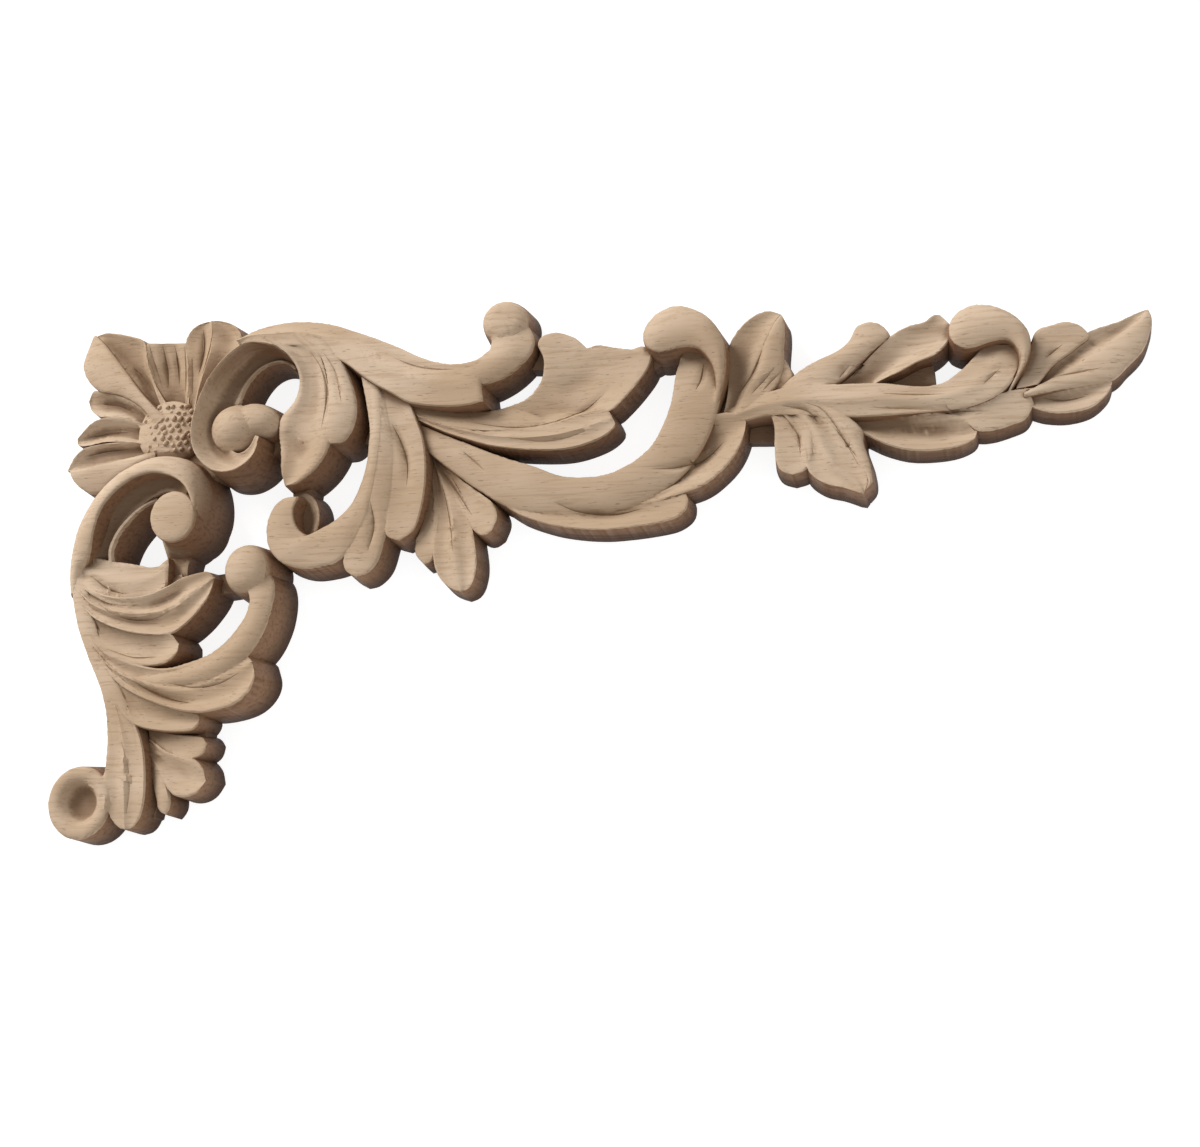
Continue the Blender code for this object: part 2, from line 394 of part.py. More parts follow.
# The low ground that ties the lobes together and closes the grooves between them
GROUND = (
    Leaf("scroll crown",
         ((140, 26, 6.5), (165, 22, 6.5), (190, 28, 6.5)),
         ((146, 38, 6), (166, 36, 6), (188, 46, 6.5))),
    Leaf("upper scroll to scroll leaf",
         ((120, 116, 7), (140, 120, 7), (160, 110, 7), (172, 100, 7)),
         ((110, 100, 7), (140, 95, 7), (160, 90, 7), (172, 84, 7))),
    Leaf("upper to lower scroll",
         ((70, 112, 7), (90, 108, 7), (108, 100, 7)),
         ((90, 140, 7), (108, 130, 7), (126, 116, 7))),
    Leaf("scroll leaf",
         ((172, 30, 8), (184, 60, 8), (184, 100, 8)),
         ((200, 30, 8), (210, 60, 8), (206, 98, 8))),
    Leaf("scroll leaf to middle leaf",
         ((205, 36, 4.5), (214, 70, 4.5), (214, 98, 4.5)),
         ((250, 50, 4.5), (246, 80, 4.5), (240, 104, 4.5))),
    Leaf("scroll leaf to bead",
         ((176, 120, 6), (178, 132, 6), (180, 146, 6)),
         ((196, 120, 6), (192, 132, 6), (192, 146, 6))),
    Leaf("top stem to great leaf",
         ((258, 62, 5), (285, 66, 5), (306, 66, 5)),
         ((262, 90, 5), (285, 92, 5), (310, 92, 5))),
    Leaf("top curl to great leaf",
         ((344, 38, 4), (342, 48, 4), (340, 56, 4)),
         ((360, 42, 4), (360, 50, 4), (360, 58, 4))),
    Leaf("great leaf",
         ((280, 88, 5), (320, 90, 5), (360, 80, 5), (400, 60, 5)),
         ((290, 96, 5), (330, 106, 5), (370, 106, 5), (400, 98, 5))),
    Leaf("great leaf to long arm curl",
         ((420, 44, 6), (430, 42, 6), (444, 40, 6)),
         ((420, 62, 6), (430, 60, 6), (440, 54, 6))),
    Leaf("hanging leaflet",
         ((264, 96, 5), (272, 120, 5), (278, 150, 5), (282, 180, 5)),
         ((284, 100, 5), (296, 130, 5), (302, 150, 5), (304, 185, 5))),
    Leaf("sweeping stem",
         ((280, 104, 6.5), (340, 138, 6.5), (380, 146, 6.5), (420, 138, 6.5), (452, 110, 6.5)),
         ((290, 118, 6.5), (345, 154, 6.5), (390, 163, 6.5), (440, 155, 6.5), (478, 125, 6.5))),
    Leaf("spray root",
         ((450, 98, 7), (470, 80, 7), (492, 74, 7)),
         ((460, 112, 7), (480, 112, 7), (500, 104, 7))),
    Leaf("upper lobes of the spray",
         ((530, 78, 4), (560, 64, 4), (580, 56, 4), (600, 52, 4), (614, 54, 4)),
         ((540, 92, 4), (560, 92, 4), (580, 92, 4), (600, 92, 4), (616, 86, 4))),
    Leaf("stem to drop leaf",
         ((482, 96, 3), (490, 106, 3), (494, 117, 3)),
         ((520, 92, 3), (516, 106, 3), (514, 118, 3))),
    Leaf("drop leaf",
         ((505, 96, 6), (520, 115, 6), (524, 132, 6)),
         ((540, 96, 6), (560, 120, 6), (566, 148, 6))),
    Leaf("lower lobes of the spray",
         ((560, 96, 5), (600, 98, 5), (660, 94, 5)),
         ((570, 112, 5), (605, 118, 5), (660, 108, 5))),
    Leaf("spray curl to tip leaf",
         ((646, 78, 5), (668, 70, 5), (690, 66, 5)),
         ((650, 98, 5), (672, 98, 5), (700, 94, 5))),
    Leaf("tip leaf",
         ((676, 82, 4.5), (700, 66, 4.5), (730, 56, 4.5)),
         ((680, 96, 4.5), (705, 92, 4.5), (735, 72, 4.5))),
    Leaf("lower scroll",
         ((18, 186, 7), (20, 165, 7), (27, 147, 7), (40, 128, 7), (58, 115, 7), (76, 112, 7),
          (94, 116, 7), (108, 130, 7), (110, 148, 7), (104, 164, 7)),
         ((42, 186, 7), (41, 170, 7), (45, 157, 7), (53, 147, 7), (62, 139, 7), (74, 132, 7),
          (86, 132, 7), (94, 140, 7), (94, 150, 7), (92, 158, 7))),
    Leaf("lower scroll to first side leaf",
         ((88, 172, 6.5), (90, 184, 6.5), (88, 200, 6.5)),
         ((106, 172, 6.5), (103, 184, 6.5), (102, 200, 6.5))),
    Leaf("first side leaf",
         ((28, 188, 7.5), (50, 194, 7.5), (78, 194, 7.5), (98, 188, 7.5)),
         ((30, 206, 7.5), (52, 212, 7.5), (80, 212, 7.5), (104, 204, 7.5))),
    Leaf("first side leaf to side curl",
         ((110, 190, 6), (124, 190, 6), (142, 188, 6)),
         ((110, 206, 6), (124, 204, 6), (142, 202, 6))),
    Leaf("first to second side leaf",
         ((40, 228, 6), (70, 238, 6), (92, 236, 6)),
         ((46, 252, 6), (72, 258, 6), (92, 258, 6))),
    Leaf("second side leaf",
         ((50, 252, 7.5), (75, 266, 7.5), (104, 276, 7.5)),
         ((56, 272, 7.5), (80, 288, 7.5), (106, 292, 7.5))),
    Leaf("second side leaf to fan leaflet",
         ((84, 284, 5), (104, 286, 5), (122, 286, 5)),
         ((84, 306, 5), (104, 310, 5), (122, 306, 5))),
    Leaf("fan leaflet",
         ((68, 286, 5), (74, 320, 4.5), (76, 345, 4), (78, 360, 4)),
         ((92, 292, 5), (92, 320, 4.5), (90, 345, 4), (88, 356, 4))),
)

BOSSES = (
    Boss("flower ground", (80, 90), (36, 36), 0, ((0, 6.5), (1, 6))),
    Boss("seed bed", (84, 86), (24, 24), 0, ((0, 9.6), (0.6, 9.2), (1, 8))),
    Boss("upper scroll ground", (136, 90), (18, 16), 0, ((0, 9), (1, 8.5))),
    Boss("upper scroll boss", (134.5, 87), (18.5, 18.5), 0,
         ((0, 15.2), (0.35, 14.8), (0.6, 13.9), (0.8, 12.6), (1, 10.8))),
    Boss("upper scroll bulb", (151, 82.5), (18.5, 13.5), 12,
         ((0, 13.9), (0.45, 13.4), (0.75, 12.1), (0.9, 11), (1, 9.6))),
    Boss("lower scroll boss", (90, 146), (17, 18.5), 0, ((0, 15.6), (0.6, 15.4), (0.85, 15.2), (1, 14.5))),
    Boss("top curl ball", (331, 24.5), (17.5, 16), 0,
         ((0, 10.4), (0.5, 10.1), (0.75, 9.3), (0.9, 8), (1, 5.8))),
    Boss("middle leaf curl bead", (186, 153), (12, 18), 0, ((0, 5.8), (0.4, 6), (0.8, 7), (1, 7.6))),
    Boss("side curl head", (150.5, 189.5), (17, 19), 0,
         ((0, 13.8), (0.5, 13.4), (0.8, 12), (0.93, 10.4), (1, 8.5))),
    Boss("end curl", (32, 345), (23, 25), 0,
         ((0, 6), (0.25, 6.1), (0.44, 7.2), (0.62, 9), (0.8, 9.7), (0.93, 9.5), (1, 8.9))),
)

LEAVES = FLOWER + UPPER_SCROLL + UPPER_LEAVES + LONG_ARM + OUTER_SPRAY + LOWER_SCROLL + SHORT_ARM + GROUND


def smooth_line(points, count):
    """Returns count points, evenly spaced, on the Catmull-Rom curve through the given points."""
    knots = np.array(points, float)
    knots = np.vstack([2 * knots[0] - knots[1], knots, 2 * knots[-1] - knots[-2]])
    t = np.linspace(0, 1, SPAN_SAMPLES, endpoint=False)[:, None]
    spans = []
    for a, b, c, d in zip(knots, knots[1:], knots[2:], knots[3:]):
        bend = (2 * a - 5 * b + 4 * c - d) * t**2 + (3 * b - a - 3 * c + d) * t**3
        spans.append(b + 0.5 * ((c - a) * t + bend))
    line = np.vstack(spans + [knots[-2:-1]])
    along = np.concatenate([[0], np.cumsum(np.linalg.norm(np.diff(line[:, :2], axis=0), axis=1))])
    at = np.linspace(0, along[-1], count)
    return np.stack([np.interp(at, along, line[:, k]) for k in range(3)], axis=1)


def plan(points):
    """Sets (across, down, height) pattern points where they really stand, as x, y, z in metres."""
    z = points[..., 2] * MILLIMETRE
    shrink = 1 - z / EYE_HEIGHT
    x = EYE[0] + (points[..., 0] - EYE[0]) * shrink - ORIGIN[0]
    y = EYE[1] + (points[..., 1] - EYE[1]) * shrink - ORIGIN[1]
    return np.stack([x * STEP, -y * STEP, z], axis=-1)


def length_of(edge):
    """The length of an edge in pattern steps, straight from point to point."""
    across_down = np.array(edge, float)[:, :2]
    return np.linalg.norm(np.diff(across_down, axis=0), axis=1).sum()


def leaf_surface(leaf):
    """Returns the carved face of a leaf in plan: ribs from root to tip, each from edge to edge."""
    reach = max(length_of(leaf.left), length_of(leaf.right))
    ribs = int(min(MOST_RIBS, max(LEAST_RIBS, round(reach / RIB_SPACING))))
    columns = COLUMNS_PER_FLUTE * leaf.flutes + 1 if leaf.crown or leaf.dish else 2
    left = plan(smooth_line(leaf.left, ribs))[:, None, :]
    right = plan(smooth_line(leaf.right, ribs))[:, None, :]
    t = np.linspace(0, 1, columns)[None, :, None]
    grid = left * (1 - t) + right * t
    across = t[..., 0]
    fade = np.sqrt(np.clip(np.linspace(1, 0, ribs) / TIP_SHARE, 0, 1))[:, None]
    inside = np.clip((across - leaf.rim) / (1 - 2 * leaf.rim), 0, 1)
    crown = leaf.crown * 4 * across * (1 - across)
    dish = leaf.dish * np.abs(np.sin(leaf.flutes * math.pi * inside))
    grid[..., 2] += fade * (crown - dish) * MILLIMETRE
    return grid


def boss_surface(boss):
    """Returns the carved face of a boss as rings of plan points, from its middle to its edge."""
    angle = np.linspace(0, 2 * math.pi, ROUND_SIDES, endpoint=False)
    turn = math.radians(boss.turn)
    a = boss.radii[0] * np.cos(angle)
    b = boss.radii[1] * np.sin(angle)
    u = boss.middle[0] + a * math.cos(turn) - b * math.sin(turn)
    v = boss.middle[1] + a * math.sin(turn) + b * math.cos(turn)
    edge = plan(np.stack([u, v, boss.profile[-1][1] + 0 * u], axis=-1))
    middle = edge.mean(axis=0)
    share = np.array(boss.profile, float)[:, :1, None]
    rings = middle + share * (edge - middle)
    rings[..., 2] = np.array(boss.profile, float)[:, 1:] * MILLIMETRE
    return rings


def outward(vert):
    """The level direction that leads out of an open sheet at a vertex of its rim."""
    direction = Vector((0.0, 0.0, 0.0))
    for edge in vert.link_edges:
        if edge.is_boundary:
            along = (edge.verts[1].co - edge.verts[0].co).cross(Vector((0.0, 0.0, 1.0)))
            middle = (edge.verts[0].co + edge.verts[1].co) / 2
            away = middle - edge.link_faces[0].calc_center_median()
            direction += along if along.dot(away) > 0 else -along
    return direction.normalized()


def solid_from_grid(name, top, round_trip, floor):
    """Closes a grid of surface points with leaning walls down to the floor, and returns the new object."""
    mesh = bmesh.new()
    rows, columns = top.shape[:2]
    upper = [[mesh.verts.new(p) for p in row] for row in top]
    last = columns if round_trip else columns - 1
    for i in range(rows - 1):
        for j in range(last):
            k = (j + 1) % columns
            mesh.faces.new((upper[i][j], upper[i + 1][j], upper[i + 1][k], upper[i][k]))
    bmesh.ops.remove_doubles(mesh, verts=mesh.verts, dist=CLEAN_UP)
    rim = [vert for vert in mesh.verts if vert.is_boundary]
    lean = {tuple(vert.co): outward(vert) * DRAFT * (vert.co.z - floor) for vert in rim}
    lowered = bmesh.ops.extrude_face_region(mesh, geom=mesh.faces[:], use_keep_orig=True)["geom"]
    for item in lowered:
        if isinstance(item, bmesh.types.BMVert):
            item.co += lean.get(tuple(item.co), Vector())
            item.co.z = floor
    bmesh.ops.recalc_face_normals(mesh, faces=mesh.faces)
    data = bpy.data.meshes.new(name)
    mesh.to_mesh(data)
    mesh.free()
    return bpy.data.objects.new(name, data)


def saw_flat(data):
    """Saws everything under z = 0 off a closed mesh and fills the flat back."""
    mesh = bmesh.new()
    mesh.from_mesh(data)
    everything = mesh.verts[:] + mesh.edges[:] + mesh.faces[:]
    bmesh.ops.bisect_plane(mesh, geom=everything, plane_co=(0, 0, 0), plane_no=(0, 0, -1), clear_outer=True)
    rim = [edge for edge in mesh.edges if edge.is_boundary]
    bmesh.ops.triangle_fill(mesh, edges=rim, normal=(0, 0, -1), use_beauty=True)
    bmesh.ops.recalc_face_normals(mesh, faces=mesh.faces)
    mesh.to_mesh(data)
    mesh.free()


def wood_material():
    """The bare pale wood of the whole onlay."""
    material = bpy.data.materials.new("bare_wood")
    material.use_nodes = True
    shader = material.node_tree.nodes["Principled BSDF"]
    shader.inputs["Base Color"].default_value = WOOD
    shader.inputs["Roughness"].default_value = 0.62
    shader.inputs["Metallic"].default_value = 0.0
    return material


def main():
    """Carves the onlay: joins all the leaves and bosses into one solid and saws its back flat."""
    for obj in list(bpy.data.objects):
        bpy.data.objects.remove(obj)
    shown = bpy.data.collections.new("corner_onlay")
    strokes = bpy.data.collections.new("strokes")
    bpy.context.scene.collection.children.link(shown)
    bpy.context.scene.collection.children.link(strokes)
    strokes.hide_render = True
    surfaces = [(leaf.name, leaf_surface(leaf), False) for leaf in LEAVES]
    surfaces += [(boss.name, boss_surface(boss), True) for boss in BOSSES]
    solids = []
    for name, surface, round_trip in surfaces:
        floor = -STOCK_BELOW - STOCK_STEP * len(solids)
        solids.append(solid_from_grid(name, surface, round_trip, floor))
    onlay = bpy.data.objects.new("corner_onlay", solids[0].data.copy())
    onlay.data.materials.append(wood_material())
    shown.objects.link(onlay)
    for solid in solids[1:]:
        strokes.objects.link(solid)
        solid.hide_render = True
        solid.display_type = "WIRE"
    join = onlay.modifiers.new("join", "BOOLEAN")
    join.operation = "UNION"
    join.solver = "MANIFOLD"
    join.operand_type = "COLLECTION"
    join.collection = strokes
    graph = bpy.context.evaluated_depsgraph_get()
    whole = bpy.data.meshes.new_from_object(onlay.evaluated_get(graph))
    saw_flat(whole)
    onlay.modifiers.clear()
    onlay.data = whole


main()
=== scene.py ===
"""Looks of the carved wooden corner onlay: the same carving cut fine, in bare pale wood, on a pale floor.

The pattern is read from a view straight down on the work. Every pattern point is (across, down, height):
steps of the pattern, and the height of the wood there in millimetres. Pattern.place sets it where it really
stands.
"""
import logging
import math
from dataclasses import dataclass, field, replace
from enum import Enum

import bmesh
import bpy
import numpy as np
from mathutils import Matrix, Vector
from mathutils.bvhtree import BVHTree


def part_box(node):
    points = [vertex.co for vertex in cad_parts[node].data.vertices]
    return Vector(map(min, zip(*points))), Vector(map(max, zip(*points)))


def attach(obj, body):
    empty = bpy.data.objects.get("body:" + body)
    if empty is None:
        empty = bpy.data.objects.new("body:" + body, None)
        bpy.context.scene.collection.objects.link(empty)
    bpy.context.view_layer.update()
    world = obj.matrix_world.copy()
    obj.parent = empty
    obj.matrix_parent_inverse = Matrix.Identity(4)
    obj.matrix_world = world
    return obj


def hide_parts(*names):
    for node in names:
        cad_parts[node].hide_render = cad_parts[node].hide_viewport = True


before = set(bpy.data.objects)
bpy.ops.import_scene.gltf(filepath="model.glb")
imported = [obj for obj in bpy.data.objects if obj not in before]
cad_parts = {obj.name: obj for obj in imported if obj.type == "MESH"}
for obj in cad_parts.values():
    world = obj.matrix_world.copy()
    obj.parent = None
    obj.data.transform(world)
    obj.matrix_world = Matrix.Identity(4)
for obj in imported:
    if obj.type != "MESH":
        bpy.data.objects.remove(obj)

LOG = logging.getLogger("corner_onlay")

Array = np.ndarray
Point = tuple[float, float, float]
Edge = tuple[Point, ...]

MILLIMETRE = 0.001
TINY = 1e-12
SIXTY_SINE = math.sqrt(3) / 2  # how close rows of round things lie
MERGE = 1e-7  # places closer than this are one
SPAN_SAMPLES = 12  # points taken on each span of a curve before it is spaced evenly
BELL_REACH = 3  # a bell curve has died out this many times its width from its middle


@dataclass(frozen=True)
class Leaf:
    """A leaf, lobe, stem or band, skinned between its two edges from root to tip.

    crown lifts the middle of each rib and dish hollows each of the flutes between the edges, both in
    millimetres. rim is the share of the width that stays flat beside each edge.
    """

    name: str
    left: Edge
    right: Edge
    crown: float = 0.0
    dish: float = 0.0
    flutes: int = 1
    rim: float = 0.0


@dataclass(frozen=True)
class Boss:
    """A turned boss or hollow: its profile is (share of the radius, height) from its middle to its edge."""

    name: str
    middle: tuple[float, float]
    radii: tuple[float, float]
    turn: float
    profile: tuple[tuple[float, float], ...]


@dataclass(frozen=True)
class Vein:
    """A soft valley with a fine cut along its bottom, through (across, down) points at one height.

    The depth and the width, from the line to where the valley has almost died out, are in millimetres.
    """

    line: tuple[tuple[float, float], ...]
    height: float
    depth: float = 0.6
    width: float = 0.7


FLOWER = (
    Leaf("corner petal, left half",
         ((74, 80, 9), (60, 65, 9), (45, 56, 8.5), (30, 52, 8), (21, 46, 7.5), (15, 37, 7.5),
          (14, 28, 7.5), (18, 17, 7.5), (21, 8, 7.5)),
         ((80, 74, 9.5), (62, 56, 10), (48, 39, 10), (36, 24, 9.5), (28, 14, 8.5), (21, 8, 7.5)),
         crown=0.6),
    Leaf("corner petal, right half",
         ((77, 77, 9), (60, 57, 9.8), (46, 40, 9.8), (34, 25, 9.3), (27, 15, 8.3), (23, 9, 7.4)),
         ((84, 70, 9), (70, 48, 9), (63, 30, 9), (60, 16, 8.5), (50, 11, 8.5), (38, 8, 8), (29, 7, 7.8),
          (23, 9, 7.4)),
         dish=2.6),
    Leaf("top petal",
         ((80, 74, 9), (68, 48, 8.8), (63, 30, 8.6), (61, 17, 8)),
         ((97, 70, 9), (96, 50, 9), (94, 34, 9), (92, 19, 8.2)),
         dish=3),
    Leaf("top lobe",
         ((94, 72, 9), (95, 52, 9), (93, 34, 8.6), (92, 20, 8.2), (95, 11, 8), (102, 5.5, 8), (112, 4, 8)),
         ((112, 70, 9), (116, 54, 9), (124, 40, 9), (134, 28, 9), (135, 18, 8), (130, 9.5, 8), (121, 5, 8),
          (112, 4, 8)),
         crown=0.8, dish=1.9, flutes=2),
    Leaf("small left petal",
         ((70, 90, 8.5), (54, 75, 8.5), (40, 71, 8), (29, 70, 7.5), (22, 65, 7), (19, 58, 7)),
         ((74, 78, 8.5), (56, 62, 8.8), (40, 54, 8.3), (28, 51, 7.5), (22, 51, 7), (19, 58, 7)),
         dish=2),
    Leaf("left upper petal",
         ((70, 94, 9), (52, 90, 9), (34, 89, 8.5), (20, 91, 8), (13, 90, 7.5), (12, 85, 7.5)),
         ((74, 80, 9), (60, 76, 9.3), (44, 71, 9), (30, 71, 8.5), (20, 76, 7.8), (12, 85, 7.5)),
         dish=3),
    Leaf("left lower petal, hollow",
         ((72, 100, 9), (54, 103, 9), (34, 107, 8.8), (18, 110, 8.2), (6, 109, 7.2)),
         ((72, 92, 9), (52, 90, 9), (34, 90, 8.5), (17, 93, 8), (10, 100, 7.5), (6, 109, 7.2)),
         dish=2.6),
    Leaf("left lower petal, outer side",
         ((76, 112, 9), (56, 112, 9), (45, 119, 8), (32, 128, 6.5), (20, 124, 6.5), (12, 117, 6.8),
          (8, 109, 7)),
         ((74, 98, 9), (54, 102, 9), (34, 105, 8.8), (18, 108, 8.2), (8, 109, 7)),
         crown=0.4),
)

UPPER_SCROLL = (
    Leaf("upper scroll channel",
         ((178, 42, 12.5), (167, 31, 14.5), (152, 22.5, 15), (133, 23.5, 15), (113, 42, 15), (102.5, 65, 15),
          (99, 84, 15), (103, 101, 15), (115, 113.5, 15), (129, 116, 15), (141, 111, 15), (148, 103, 15),
          (151, 92, 14.6)),
         ((178, 45, 8.6), (171, 40.5, 7.4), (162, 39.5, 7.2), (153, 43.5, 7.2), (144.5, 50.5, 7.4),
          (138.5, 58.5, 8), (135.5, 67, 9), (131.5, 76, 10), (128, 88, 11), (130, 98, 12), (135, 103, 12.8),
          (140.5, 102, 13.4), (145, 98, 13.8), (148.5, 91, 14)),
         dish=2.4, rim=0.04),
    Leaf("upper scroll inner ridge",
         ((131, 70, 9.4), (135.5, 58, 9.2), (141.5, 49, 8.9), (150, 41.2, 8.7), (161, 37.4, 8.7),
          (171, 38, 8.8), (178, 43, 9.2)),
         ((137, 70, 9.2), (139.5, 60, 9), (144.5, 51.5, 8.7), (152, 44, 8.5), (161, 40, 8.5),
          (170, 40.6, 8.6), (176, 45, 9)),
         crown=0.3),
    Leaf("top stem",
         ((133, 20, 13.6), (145, 14.6, 12.6), (160, 11, 12), (178, 10, 11.5), (200, 13, 11.5),
          (225, 22, 11.5), (250, 33, 11), (272, 44, 11), (292, 49, 11), (310, 47, 10.4)),
         ((134, 24, 14.2), (142, 22.6, 14.6), (152, 24, 14.5), (162, 27, 13.9), (176, 27.5, 13.3),
          (192, 32, 12.9), (212, 42, 13), (230, 56, 13), (248, 67, 13), (262, 75, 12.5), (285, 79, 12),
          (302, 79, 11.8), (313.5, 77, 11.4)),
         crown=1.2, dish=0.5, flutes=2, rim=0.04),
    Leaf("top curl neck",
         ((288, 52, 10.2), (304, 49, 10), (316, 42, 9.2), (319, 36, 8.6), (318, 30, 8.4), (322, 24, 8)),
         ((294, 68, 10.4), (311, 66.5, 10.2), (328, 62, 8.8), (340, 54, 8.3), (348, 44, 8.2), (349, 34, 8.2),
          (344, 24, 8)),
         crown=1.2),
)

UPPER_LEAVES = (
    Leaf("scroll leaf, inner blade",
         ((150, 20, 14.5), (167, 31, 13.8), (177, 43, 12.5), (180, 56, 11.5), (177, 68, 11), (168, 79, 11),
          (166, 90, 11), (168, 105, 11), (169, 118, 11), (172, 129, 11)),
         ((180, 19, 13.5), (194, 34, 12.9), (200, 52, 12.4), (202, 70, 12), (202, 86, 11.8),
          (204, 100, 11.6), (199, 112, 11.3), (191, 121, 11.2), (181, 128, 11), (172, 129, 11)),
         crown=1, dish=2, rim=0.12),
    Leaf("scroll leaf, outer blade",
         ((180, 20, 13), (195, 37, 12.8), (200, 55, 12.5), (201, 75, 12.5), (200, 90, 12),
          (204, 101, 11.5)),
         ((200, 26, 13), (212, 43, 12.5), (219, 58, 12), (223, 75, 12), (221, 90, 11.5),
          (214, 100, 11.2), (204, 101, 11.5)),
         crown=0.8),
    Leaf("middle leaf, right blade",
         ((234, 50, 10.2), (242, 75, 10.4), (246, 105, 10), (247, 130, 9.6), (246, 150, 9.2), (246.5, 167, 9),
          (256, 172, 9)),
         ((258, 66, 11), (266, 86.6, 11), (271, 100, 10.8), (273.6, 117, 10.4), (273.6, 134, 10),
          (271, 151, 9.6), (266, 165, 9.2), (256, 172, 9)),
         crown=0.8, dish=1),
    Leaf("middle leaf, centre blade",
         ((224, 48, 10.6), (230, 75, 10.8), (233, 95, 10.8), (234, 120, 10.4), (230, 142, 10),
          (223, 160, 9.5), (217, 178, 9.2), (218, 190, 9), (226, 196, 9)),
         ((242, 52, 10.2), (250, 85, 9.8), (254, 108, 9.4), (254, 132, 9), (251, 152, 8.7),
          (246, 170, 8.7), (241, 186, 8.8), (233, 194, 9), (226, 196, 9)),
         crown=1.1, dish=0.4),
    Leaf("middle leaf, left branch",
         ((226, 50, 10), (232, 75, 10), (233, 98, 10), (231, 120, 9.5), (223, 142, 9.5), (212, 154, 9.5),
          (200, 161, 9.5), (191, 165, 9.5), (184, 161, 10), (180, 154, 10.5), (179, 146, 11),
          (182, 139, 11)),
         ((240, 60, 11), (242, 90, 11), (240, 120, 10.5), (234, 150, 10), (224, 172, 9.5),
          (213, 184, 9.5), (198, 188, 9.5), (184, 188, 9.5), (170, 182, 10), (162, 172, 10),
          (160, 158, 10), (164, 145, 10), (172, 138, 10.5), (182, 137, 11)),
         crown=0.8),
    Leaf("hanging leaflet, left lobe",
         ((276, 120, 6), (275, 150, 6.5), (268, 172, 7), (268, 182, 7), (274, 189, 7)),
         ((283, 125, 6), (284, 155, 7), (282, 180, 7.5), (279, 187, 7), (274, 189, 7)),
         crown=0.3, dish=0.4),
    Leaf("hanging leaflet, centre lobe",
         ((274, 112, 6), (279, 140, 7), (280, 165, 7.5), (280, 184, 8), (284, 197, 8), (291, 205, 8),
          (300, 209, 8)),
         ((282, 114, 6), (295, 135, 7.5), (305, 155, 8), (308, 170, 8), (310.5, 188, 8), (309, 200, 8),
          (305.5, 206.5, 8), (300, 209, 8)),
         crown=0.5, dish=1.2, flutes=2),
    Leaf("hanging leaflet, right lobe",
         ((282, 122, 6), (294, 142, 7), (304, 160, 8), (309, 168, 8.5), (315, 171, 9), (321, 168, 9)),
         ((282, 114, 6), (300, 132, 7.5), (314, 143, 8.5), (321, 149, 9), (324.5, 158, 9), (321, 168, 9)),
         crown=0.3, dish=0.8),
)

